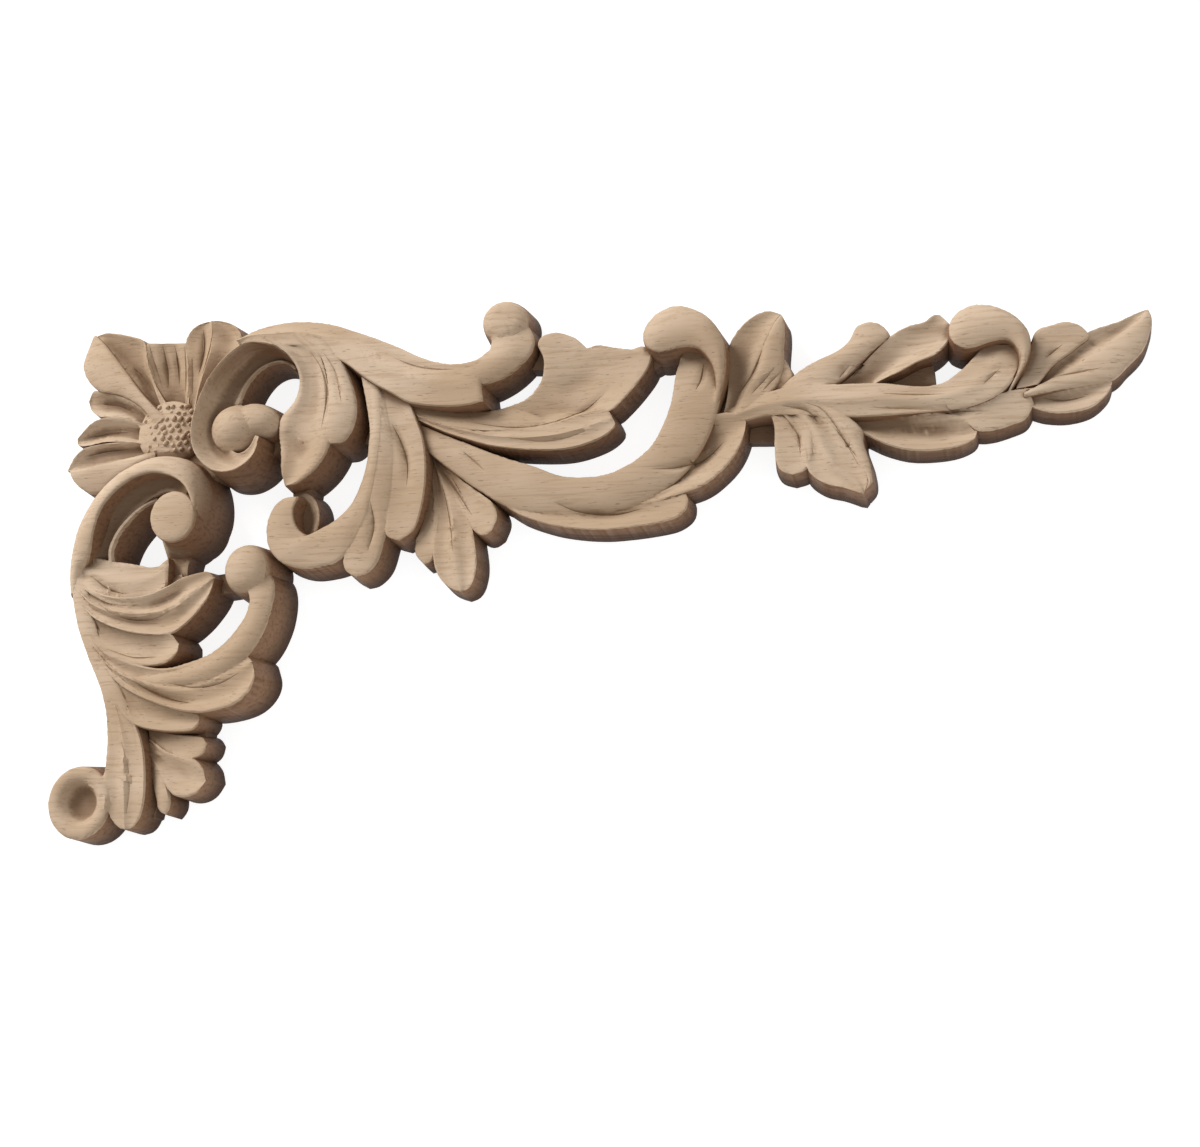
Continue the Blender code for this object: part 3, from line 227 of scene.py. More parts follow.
LONG_ARM = (
    Leaf("great leaf, top lobe",
         ((357, 64, 5.5), (356, 50, 7.2), (351.5, 39, 8.3), (356, 33, 8.3), (366, 31.5, 8.3)),
         ((380, 64, 5.5), (388, 50, 6.6), (385, 43.5, 8.1), (377, 36, 8.3), (366, 31.5, 8.3))),
    Leaf("great leaf, upper blade",
         ((250, 62, 9), (275, 76, 8.2), (300, 83.5, 7.2), (320, 85, 6.6), (333, 81.5, 6.6), (342, 78.5, 6.6),
          (349, 73, 6.8), (354.5, 64, 7.2), (356, 52, 7.8), (352.5, 40, 8.2)),
         ((260, 84, 9.5), (290, 94, 9.6), (330, 98, 9.2), (358, 96.5, 8.9), (382, 91, 8.7), (401, 89.5, 8.5),
          (410, 83, 8.5), (421, 71, 8.5), (428.5, 60, 8.6), (431.4, 49, 8.8)),
         dish=1.9),
    Leaf("great leaf, top edge",
         ((378, 43.5, 8.2), (386, 44.2, 8.3), (393, 42.3, 8.35), (404, 44.9, 8.45), (416, 47, 8.55),
          (424.6, 45.7, 8.7), (431.4, 49, 8.8)),
         ((376, 56, 5.5), (392, 57, 5.8), (408, 59, 6.2), (421, 59, 6.8), (431.4, 49, 8.8))),
    Leaf("great leaf, root",
         ((250, 62, 9.3), (275, 76, 8.6), (298, 83, 7.7), (318, 84.5, 6.8), (334, 82, 5.8)),
         ((260, 84, 9.8), (290, 94, 9.8), (318, 98, 9.2), (342, 98, 8.3), (364, 95, 6.5))),
    Leaf("great leaf, lower blade",
         ((264, 80, 9.2), (290, 90, 9.2), (320, 96, 8.8), (350, 96, 8.5), (378, 90.5, 8.3), (398, 88, 8.2),
          (404, 95, 8.2)),
         ((267, 87.5, 10), (285, 96.5, 9.8), (306, 104.5, 9.6), (322, 109.5, 9.2), (345, 113.3, 8.8),
          (372, 114.5, 8.4), (394, 109, 8.2), (405, 101, 8.2), (404, 95, 8.2)),
         crown=0.6, dish=0.9, flutes=2, rim=0.04),
    Leaf("sweeping stem, inner band",
         ((266, 89, 8.5), (293, 102, 8.7), (327, 117, 8.8), (348, 124.5, 8.8), (372, 133.6, 8.8),
          (402, 132.7, 8.8), (428, 117.4, 8.8), (441.6, 92, 9), (446.8, 67, 9), (452, 50, 9)),
         ((276, 112, 8.3), (293, 126, 8.2), (311, 139.5, 8.2), (330, 151.5, 8.1), (350, 157, 7.8),
          (370, 159.5, 7.4), (388, 161, 7.2), (406, 160.5, 7.2), (428, 153, 7.2), (450, 138, 7.4),
          (466, 116, 8), (475, 92, 8.8), (480, 68, 9.5), (481, 50, 10)),
         crown=0.8),
    Leaf("sweeping stem, outer lobe",
         ((318, 134, 6.4), (345, 148, 6.7), (368, 153, 6.9), (395, 157, 7), (425, 152, 7.2), (446, 143, 7.4),
          (452, 148, 8)),
         ((322, 146, 7.2), (335, 155, 8), (344.4, 160, 8.3), (361.5, 166, 8.4), (378.5, 169.4, 8.5),
          (395.6, 171, 8.5), (412.7, 170.5, 8.5), (429.7, 169, 8.4), (443.4, 166.5, 8.3), (452, 161, 8.2),
          (454, 154, 8), (452, 148, 8)),
         dish=0.5, rim=0.06),
    Leaf("sweeping stem, upper lobe",
         ((400, 138, 6.5), (430, 124, 7), (448, 110, 7.6), (462, 100, 8.2), (478, 95.5, 8.4), (490, 98, 8.2),
          (493, 103, 8.2)),
         ((405, 158, 6.8), (428, 155, 7.6), (447, 150, 8.2), (464, 144.6, 8.3), (476, 136, 8.3),
          (485, 126, 8.3), (491, 114, 8.2), (493, 103, 8.2)),
         dish=1.9, rim=0.04),
    Leaf("long arm curl",
         ((472, 102, 6), (478, 86, 8.2), (481, 68, 10.8), (480.5, 51, 12), (476, 38, 12.3), (466, 26, 12.5),
          (450, 19, 12.3), (436, 22, 12), (427, 31, 12), (424.5, 40, 11.8), (427, 47, 11.4), (432, 51, 11.2)),
         ((468, 100, 6), (472.5, 86, 8.2), (473, 71, 10.8), (470, 60, 12), (463, 51, 12.5), (455, 48.5, 12.5),
          (447, 49, 12.4), (441, 50.5, 12), (436, 51.5, 11.6), (432, 51, 11.2)),
         crown=1.8),
    Leaf("upright leaf, left half",
         ((478, 98, 7.8), (481, 82, 8.6), (482, 65, 8.8), (482, 52, 8.8), (488, 40, 8.8), (498, 30.5, 8.8),
          (509, 27, 8.6), (517.5, 30, 8.5)),
         ((486, 96, 8.2), (493, 80, 9), (501, 63, 9), (507, 48, 9), (513, 36, 8.8), (517.5, 30, 8.5)),
         dish=1.5),
    Leaf("upright leaf, right half",
         ((486, 96, 8.2), (493, 80, 9), (501, 63, 9), (507, 48, 9), (513, 36, 8.8), (517.5, 30, 8.5)),
         ((502, 96, 8), (513, 82, 8), (518.5, 68, 8), (519, 56, 8.2), (520, 43, 8.3), (519.5, 34, 8.5),
          (517.5, 30, 8.5)),
         crown=0.5),
    Leaf("upright leaf, side lobe",
         ((486, 92, 7), (500, 80, 7.2), (511, 68, 7.4), (518, 61, 7.5), (522.5, 67, 7.4)),
         ((494, 98, 7), (510, 90, 7.4), (521, 84, 7.4), (525, 76, 7.4), (522.5, 67, 7.4))),
)

OUTER_SPRAY = (
    Leaf("spray stem",
         ((456, 108, 4.5), (472, 99, 6), (488, 91, 7.8), (505, 84.5, 8.9), (525, 80, 9.2), (550, 81, 9),
          (580, 82, 9), (605, 86, 9), (620, 85, 8.8), (630, 79, 8.6), (640, 70, 8.6), (648, 60, 8.5)),
         ((460, 116, 4.5), (478, 108, 6), (496, 102, 7.8), (512, 99.5, 8.9), (535, 101, 9.2), (560, 104, 9),
          (590, 104, 9), (615, 103, 9), (640, 101, 9), (658, 93, 9), (668, 80, 9), (674, 62, 9)),
         crown=1, dish=0.5, flutes=2),
    Leaf("spray, first upper lobe",
         ((505, 92, 8), (526, 72.5, 8.2), (540, 64.5, 8.2), (552, 59.5, 8.2), (560, 54, 8.2), (564, 48, 8.2),
          (567, 42.5, 8.2), (575, 40.3, 8)),
         ((535, 96, 7.6), (552, 83, 7.8), (565, 71, 8), (577, 60, 8.2), (587.5, 51, 8.2), (586, 46, 8),
          (581, 41.5, 8), (575, 40.3, 8)),
         crown=0.9),
    Leaf("spray, second upper lobe",
         ((540, 92, 6.8), (562, 76, 7.2), (578, 60, 7.8), (590, 49.5, 8.2), (600, 44.5, 8.3),
          (610, 42.5, 8.3), (616.5, 38.3, 8.2), (621, 38.5, 8)),
         ((562, 93, 7.5), (582, 80, 8.3), (594, 75, 8.5), (605, 69.5, 8.6), (615, 66, 8.6), (622, 61, 8.6),
          (627, 54, 8.5), (627, 46, 8.3), (621, 38.5, 8)),
         dish=1.9),
    Leaf("spray curl",
         ((662, 98, 6), (668, 87, 7.8), (674, 76, 9.5), (677, 64, 10.3), (675.5, 53, 10.7), (668, 43, 11),
          (657, 36, 11), (645.5, 33.3, 10.6), (637, 35, 10.5), (630, 39.5, 10.5), (626.5, 46, 10.5),
          (626, 54, 10.4), (629, 60, 10.2)),
         ((659, 96, 6), (664.5, 87, 7.8), (668.5, 77, 9.5), (669, 69, 10.3), (666, 62, 10.7), (661, 58.5, 11),
          (653, 59, 11), (646, 61, 10.8), (640, 62.5, 10.5), (634, 62.5, 10.3), (629, 60, 10.2)),
         crown=1.6),
    Leaf("drop leaf, left lobe",
         ((504, 92, 8.2), (511, 104, 8.4), (511.5, 120, 8.4), (512, 130, 8.4), (515.5, 137.4, 8.4),
          (523, 140.5, 8.4)),
         ((530, 96, 8.4), (535, 110, 8.8), (536, 125, 8.8), (532, 137, 8.5), (523, 140.5, 8.4)),
         crown=0.4, dish=0.8),
    Leaf("drop leaf, centre lobe",
         ((510, 92, 9), (522, 105, 9), (530, 122, 9), (533, 138, 9), (543, 147, 9), (556, 151, 9),
          (568, 156, 9)),
         ((528, 90, 9.5), (545, 103, 9.5), (557, 120, 9.5), (566, 134, 9.2), (571, 146, 9), (568, 156, 9)),
         crown=0.2, dish=1.2, flutes=2),
    Leaf("drop leaf, right lobe",
         ((520, 92, 9.3), (542, 102, 9.3), (556, 118, 9.3), (565, 133, 9), (571, 146, 9), (569, 154, 9)),
         ((535, 88, 9), (555, 100, 9), (568, 112, 8.5), (569, 122, 8.5), (573, 136, 8.5), (574, 148, 8.5),
          (569, 154, 9)),
         crown=0.6),
    Leaf("spray, first lower lobe",
         ((558, 96, 8.4), (582, 100, 7.9), (605, 103, 7.8), (628, 106, 7.6), (639, 112, 7.4),
          (641, 119, 7.2)),
         ((556, 108, 8), (573, 118, 7.4), (584, 124, 7.3), (598, 128.5, 7.3), (613, 129.5, 7.3),
          (628, 128, 7.3), (638, 124, 7.2), (641, 119, 7.2)),
         dish=2.1, rim=0.05),
    Leaf("spray, second lower lobe",
         ((600, 94, 7), (630, 97, 8.4), (655, 94, 8.3), (672, 92, 7.8), (677, 102, 7.2)),
         ((612, 103, 6.5), (632, 111, 7.2), (641, 118, 7.3), (651, 118.5, 7.3), (663, 115.5, 7.2),
          (672, 111.5, 7.2), (677, 102, 7.2)),
         crown=0.3, dish=0.5),
    Leaf("tip leaf, upper lobe",
         ((666, 92, 8), (674, 72, 8), (680, 55, 7.6), (689.5, 51, 7.5), (699, 49.3, 7.4), (707, 51.5, 7.2),
          (712, 57, 7)),
         ((680, 90, 8), (690, 78, 7.6), (700, 71, 7.2), (708, 65, 7), (713, 61, 7), (712, 57, 7)),
         crown=0.5, dish=0.6),
    Leaf("tip leaf, upper half",
         ((669, 94, 8), (690, 75, 7.6), (712, 57.5, 7.2), (731, 51.4, 6.8), (743, 46.5, 6.4),
          (750, 44.5, 6.2)),
         ((673, 95, 8), (701, 81, 7.2), (722, 68, 6.8), (738, 57, 6.5), (746, 50, 6.3), (750, 44.5, 6.2)),
         dish=1.5),
    Leaf("tip leaf, lower half",
         ((671, 95, 8), (701, 80, 7.2), (722, 67, 6.8), (738, 56, 6.5), (746, 49, 6.3), (750, 44.5, 6.2)),
         ((671, 98, 8), (700, 94, 7.2), (725, 90.6, 6.6), (735.5, 82, 6.4), (745, 72.4, 6.3), (750, 61, 6.2),
          (752, 51.5, 6.2), (750, 44.5, 6.2)),
         crown=0.7),
    Leaf("tip leaf, lower lobe",
         ((660, 94, 8), (690, 90, 7.6), (710, 88, 7.2), (722, 88, 6.8), (725.5, 91.5, 6.5)),
         ((664, 99, 7.6), (676, 105, 7), (686, 108.7, 6.8), (699, 109.7, 6.8), (712.5, 106.8, 6.6),
          (722, 99, 6.5), (725.5, 91.5, 6.5)),
         dish=1.2, rim=0.06),
)

LOWER_SCROLL = (
    Leaf("lower scroll band",
         ((17, 202, 7.4), (14.5, 186, 8.6), (15, 168, 9.3), (20, 148, 10), (32, 128, 10.5), (50, 112, 11.5),
          (74, 103, 12), (96, 105, 11), (111.5, 115, 9.6), (121, 133, 8), (121, 151, 8), (114, 167, 7.5),
          (102, 178, 6.5), (88, 179, 5.5)),
         ((22, 196, 8.2), (25, 184, 9), (28, 172, 11.6), (30, 152, 13.8), (36.5, 135, 14.3), (51, 121, 14.8),
          (70, 114, 15), (88, 118, 15), (99, 128, 15), (104, 143, 15), (101.5, 156, 14.4), (93, 160, 12.8),
          (81, 160.5, 11.2)),
         crown=1.4),
    Leaf("lower scroll channel",
         ((31, 178, 9.4), (27, 166, 11.4), (27.5, 148, 12.6), (35, 132, 13.2), (50, 118.5, 13.6),
          (70, 111.5, 13.8), (90, 115.5, 13.8), (101, 127, 13.8)),
         ((45, 179, 9.2), (45, 168, 9.4), (50, 156, 9.4), (58, 146, 9.4), (67, 138, 9.5), (77, 131.5, 9.8),
          (86, 129, 10.6), (96, 134, 12)),
         dish=2.2, rim=0.04),
    Leaf("lower scroll inner ridge",
         ((43, 180, 9.2), (42, 168, 10.6), (47.5, 155, 11), (56.5, 144.5, 11), (66, 137.2, 10.8),
          (76, 132.5, 10.4)),
         ((48, 180, 9), (46.5, 169.5, 10.4), (51, 158, 10.7), (59.5, 147.5, 10.7), (68.5, 139.5, 10.6),
          (78, 134.5, 10.3)),
         crown=0.5),
)

SHORT_ARM = (
    Leaf("side stem",
         ((19, 158, 7.5), (14.5, 176, 8.8), (15.5, 192, 9), (18, 206, 9), (23, 224, 9), (32, 245, 9),
          (43, 268, 9), (49, 290, 8.5), (50, 310, 8), (49, 330, 8)),
         ((29, 166, 8), (28, 178, 8.6), (29, 192, 8.8), (32, 206, 8.8), (37, 224, 8.8), (46, 246, 8.9),
          (58, 268, 9.3), (68, 288, 9.2), (73, 302, 9.2), (76, 320, 9)),
         crown=0.5),
    Leaf("first side leaf, inner lobe",
         ((17.5, 166, 8.9), (30, 172, 9.5), (44, 176.5, 9.8), (56, 178.5, 9.8), (66, 180.5, 9.6),
          (74, 182.3, 9.5), (81, 181.5, 9.4), (87.5, 176.5, 9.2)),
         ((17.5, 177, 9), (28, 184, 9.9), (40, 189, 10.2), (52, 192, 10.2), (66, 191.8, 10), (78, 188, 9.8),
          (88, 181, 9.5)),
         crown=0.2, dish=0.7),
    Leaf("first side leaf, middle lobe",
         ((17.5, 176, 9), (28, 183, 9.9), (40, 188.5, 10.2), (52, 191.5, 10.2), (66, 191.3, 10),
          (78, 187.5, 9.8), (88, 180.5, 9.5)),
         ((18, 188, 9), (28, 198, 10.1), (43, 206, 10.2), (58, 209, 10.1), (70, 208, 9.9), (81, 203, 9.7),
          (88, 197, 9.5)),
         crown=0.2, dish=0.9),
    Leaf("first side leaf, main lobe",
         ((18, 186, 9.1), (30, 196, 10.1), (50, 202, 10.9), (70, 202, 10.6), (87, 196.5, 10.2),
          (97, 191.3, 10.2), (109, 188, 10.2), (118, 187.5, 10.1), (123.3, 192, 10)),
         ((19.5, 202, 9.1), (34, 217, 10.1), (56, 226.5, 10.4), (78, 230.5, 10.4), (93, 230, 10.3),
          (103, 224, 10.2), (112, 215, 10.1), (119.6, 204, 10), (123.3, 192, 10)),
         crown=0.6, dish=1.8, flutes=2, rim=0.05),
    Leaf("first side leaf, under lobe",
         ((19.5, 200, 9), (38, 214, 9.4), (60, 223, 9.6), (80, 227, 9.8), (92, 229.5, 10), (98.5, 237, 10.1)),
         ((26, 222, 9.1), (38, 237, 9.9), (54, 247, 10.3), (67, 251, 10.3), (80.5, 252, 10.2),
          (91.3, 249.7, 10.2), (97.8, 243.5, 10.2), (98.5, 237, 10.1)),
         dish=1.5, rim=0.08),
    Leaf("second side leaf, main lobe",
         ((26, 221, 9), (40, 238, 9.8), (60, 248, 10.1), (88, 254, 10.4), (112, 249, 10.6), (130, 243, 11),
          (146, 245, 11.4), (153.5, 251, 11.8)),
         ((34, 242, 9), (60, 267, 10.2), (92, 281, 10.8), (116, 285.3, 11.5), (138, 281.5, 12),
          (150, 273.7, 12.3), (155.5, 262.8, 12.3), (153.5, 251, 11.8)),
         crown=0.4, dish=1.4, flutes=2, rim=0.05),
    Leaf("second side leaf, lower lobe",
         ((33, 240, 9), (60, 262, 9.8), (84, 275, 10), (104, 283, 10), (116.3, 286.8, 9.8)),
         ((46, 265, 9), (60, 285, 10), (71, 293.3, 9.8), (87, 297, 9.7), (102, 298, 9.6), (112, 297, 9.6),
          (116.5, 292, 9.7), (116.3, 286.8, 9.8)),
         crown=0.2, dish=1.4, rim=0.06),
    Leaf("side curl",
         ((40, 252, 6.5), (80, 257, 9), (108, 252, 10.2), (130, 240, 10.8), (144.5, 224, 11.4),
          (149.5, 211, 12), (148, 201, 12), (148, 192, 12)),
         ((46, 262, 6.2), (88, 270, 8.8), (116, 268, 10), (138, 258, 11), (154, 243, 11.6), (163, 226, 11.6),
          (167.3, 209, 11), (167.3, 197, 10.2), (162, 188, 10)),
         crown=1.4),
    Leaf("long end leaf",
         ((47, 276, 8.6), (50, 305, 9), (49, 328, 9), (52, 346, 8.8), (56, 356, 8.6), (62, 362, 8.5),
          (67, 363.5, 8.5)),
         ((64, 280, 9.4), (75, 303, 9.6), (79, 323, 9.6), (79.5, 342, 9.2), (77, 355, 8.8), (73, 361.5, 8.6),
          (67, 363.5, 8.5)),
         crown=0.6, dish=0.9, flutes=2, rim=0.04),
    Leaf("fan leaflet, upper lobe",
         ((80, 293, 6.8), (94, 298, 7.6), (108, 300.3, 8), (119, 302, 8.2), (123, 306.5, 8.2)),
         ((82, 312, 6.8), (94, 316, 7.5), (106, 318, 7.9), (115, 316.5, 8.1), (121, 312.5, 8.2),
          (123, 306.5, 8.2)),
         crown=0.3, dish=0.7),
    Leaf("fan leaflet, main lobe",
         ((81, 302, 7), (94, 311, 8), (105, 314.5, 8.3), (114, 316.5, 8.5), (121, 323, 8.5),
          (123.5, 331.5, 8.5)),
         ((81, 312, 6.8), (89, 325, 7.7), (95, 335, 8.1), (101, 341, 8.4), (110, 342.3, 8.5), (118, 339, 8.5),
          (123.5, 331.5, 8.5)),
         crown=0.7, dish=1.7, rim=0.06),
    Leaf("fan leaflet, end lobe",
         ((86, 312, 6.6), (93, 326, 7.2), (98, 339, 7.5), (99, 348, 7.4), (96, 354, 7.2)),
         ((80, 312, 5.8), (84, 328, 6.3), (88, 342, 6.8), (91, 351, 7), (96, 354, 7.2)),
         crown=0.5),
    Leaf("end curl neck",
         ((36, 321, 8.6), (42, 323.5, 9), (47, 327, 9), (51, 322, 8.6)),
         ((38, 334, 8.8), (44, 337, 9.1), (49, 339, 9.1), (54, 339, 8.8))),
)

# The low ground that ties the lobes together and closes the grooves between them
GROUND = (
    Leaf("scroll crown",
         ((140, 26, 6.5), (165, 22, 6.5), (190, 28, 6.5)),
         ((146, 38, 6), (166, 36, 6), (188, 46, 6.5))),
    Leaf("upper scroll to scroll leaf",
         ((120, 116, 7), (140, 120, 7), (160, 110, 7), (172, 100, 7)),
         ((110, 100, 7), (140, 95, 7), (160, 90, 7), (172, 84, 7))),
    Leaf("upper to lower scroll",
         ((70, 112, 7), (90, 108, 7), (108, 100, 7)),
         ((90, 140, 7), (108, 130, 7), (126, 116, 7))),
    Leaf("scroll leaf",
         ((172, 30, 8), (184, 60, 8), (184, 100, 8)),
         ((200, 30, 8), (210, 60, 8), (206, 98, 8))),
    Leaf("scroll leaf to middle leaf",
         ((205, 36, 4.5), (214, 70, 4.5), (214, 98, 4.5)),
         ((250, 50, 4.5), (246, 80, 4.5), (240, 104, 4.5))),
    Leaf("scroll leaf to bead",
         ((176, 120, 6), (178, 132, 6), (180, 146, 6)),
         ((196, 120, 6), (192, 132, 6), (192, 146, 6))),
    Leaf("top stem to great leaf",
         ((258, 62, 5), (285, 66, 5), (306, 66, 5)),
         ((262, 90, 5), (285, 92, 5), (310, 92, 5))),
    Leaf("top curl to great leaf",
         ((344, 38, 4), (342, 48, 4), (340, 56, 4)),
         ((360, 42, 4), (360, 50, 4), (360, 58, 4))),
    Leaf("great leaf",
         ((280, 88, 5), (320, 90, 5), (360, 80, 5), (400, 60, 5)),
         ((290, 96, 5), (330, 106, 5), (370, 106, 5), (400, 98, 5))),
    Leaf("great leaf to long arm curl",
         ((420, 53, 6), (432, 52, 6), (444, 46, 6)),
         ((420, 64, 6), (430, 62, 6), (442, 56, 6))),
    Leaf("hanging leaflet",
         ((264, 96, 5), (272, 120, 5), (278, 150, 5), (282, 180, 5)),
         ((284, 100, 5), (296, 130, 5), (302, 150, 5), (304, 185, 5))),
    Leaf("sweeping stem",
         ((280, 104, 6.5), (340, 138, 6.5), (380, 146, 6.5), (420, 138, 6.5), (452, 110, 6.5)),
         ((290, 118, 6.5), (345, 154, 6.5), (390, 163, 6.5), (440, 155, 6.5), (478, 125, 6.5))),
    Leaf("spray root",
         ((450, 98, 5.5), (470, 80, 5.5), (492, 76, 5.5)),
         ((460, 110, 5.5), (478, 106, 5.5), (494, 100, 5.5))),
    Leaf("upper lobes of the spray",
         ((530, 78, 4), (560, 64, 4), (580, 56, 4), (600, 52, 4), (614, 54, 4)),
         ((540, 92, 4), (560, 92, 4), (580, 92, 4), (600, 92, 4), (616, 86, 4))),
    Leaf("stem to drop leaf",
         ((482, 96, 3), (490, 106, 3), (494, 117, 3)),
         ((520, 92, 3), (516, 106, 3), (514, 118, 3))),
    Leaf("drop leaf",
         ((505, 96, 6), (520, 115, 6), (524, 132, 6)),
         ((540, 96, 6), (560, 120, 6), (566, 148, 6))),
    Leaf("lower lobes of the spray",
         ((560, 96, 5), (600, 98, 5), (660, 94, 5)),
         ((570, 112, 5), (605, 118, 5), (660, 108, 5))),
    Leaf("spray curl to tip leaf",
         ((646, 78, 5), (668, 70, 5), (690, 66, 5)),
         ((650, 98, 5), (672, 98, 5), (700, 94, 5))),
    Leaf("tip leaf",
         ((676, 82, 4.5), (700, 66, 4.5), (730, 56, 4.5)),
         ((680, 96, 4.5), (705, 92, 4.5), (735, 72, 4.5))),
    Leaf("lower scroll",
         ((18, 186, 7), (20, 165, 7), (27, 147, 7), (40, 128, 7), (58, 115, 7), (76, 112, 7),
          (94, 116, 7), (108, 130, 7), (110, 148, 7), (104, 164, 7)),
         ((42, 186, 7), (41, 170, 7), (45, 157, 7), (53, 147, 7), (62, 139, 7), (74, 132, 7),
          (86, 132, 7), (94, 140, 7), (94, 150, 7), (92, 158, 7))),
    Leaf("lower scroll to first side leaf",
         ((88, 172, 6.5), (90, 184, 6.5), (88, 200, 6.5)),
         ((106, 172, 6.5), (103, 184, 6.5), (102, 200, 6.5))),
    Leaf("first side leaf",
         ((28, 188, 7.5), (50, 194, 7.5), (78, 194, 7.5), (98, 188, 7.5)),
         ((30, 206, 7.5), (52, 212, 7.5), (80, 212, 7.5), (104, 204, 7.5))),
    Leaf("first side leaf to side curl",
         ((110, 190, 6), (124, 190, 6), (142, 188, 6)),
         ((110, 206, 6), (124, 204, 6), (142, 202, 6))),
    Leaf("first to second side leaf",
         ((40, 228, 6), (70, 238, 6), (92, 236, 6)),
         ((46, 252, 6), (72, 258, 6), (92, 258, 6))),
    Leaf("second side leaf",
         ((50, 252, 7.5), (75, 266, 7.5), (104, 276, 7.5)),
         ((56, 272, 7.5), (80, 288, 7.5), (106, 292, 7.5))),
    Leaf("second side leaf to fan leaflet",
         ((84, 284, 5), (104, 286, 5), (122, 286, 5)),
         ((84, 306, 5), (104, 310, 5), (122, 306, 5))),
    Leaf("fan leaflet",
         ((68, 286, 5), (74, 320, 4.5), (76, 345, 4), (78, 360, 4)),
         ((92, 292, 5), (92, 320, 4.5), (90, 345, 4), (88, 356, 4))),
)

BOSSES = (
    Boss("flower ground", (80, 90), (36, 36), 0, ((0, 6.5), (1, 6))),
    Boss("seed bed", (84, 86), (24, 24), 0, ((0, 9.6), (0.6, 9.2), (1, 8))),
    Boss("upper scroll ground", (136, 90), (18, 16), 0, ((0, 9), (1, 8.5))),
    Boss("upper scroll boss", (134.5, 87), (18.5, 18.5), 0,
         ((0, 15.2), (0.35, 14.8), (0.6, 13.9), (0.8, 12.6), (1, 10.8))),
    Boss("upper scroll bulb", (151, 82.5), (18.5, 13.5), 12,
         ((0, 13.9), (0.45, 13.4), (0.75, 12.1), (0.9, 11), (1, 9.6))),
    Boss("lower scroll boss", (90, 147), (17, 18.5), 0, ((0, 15.6), (0.6, 15.4), (0.85, 15.2), (1, 14.5))),
    Boss("top curl ball", (331, 24.5), (17.5, 16), 0,
         ((0, 10.4), (0.5, 10.1), (0.75, 9.3), (0.9, 8), (1, 5.8))),
    Boss("middle leaf curl bead", (186, 153), (12, 18), 0, ((0, 5.8), (0.4, 6), (0.8, 7), (1, 7.6))),
    Boss("side curl head", (150.5, 189.5), (17, 19), 0,
         ((0, 13.8), (0.5, 13.4), (0.8, 12), (0.93, 10.4), (1, 8.5))),
    Boss("end curl", (32, 345), (23, 25), 0,
         ((0, 6), (0.25, 6.1), (0.44, 7.2), (0.62, 9), (0.8, 9.7), (0.93, 9.5), (1, 8.9))),
)

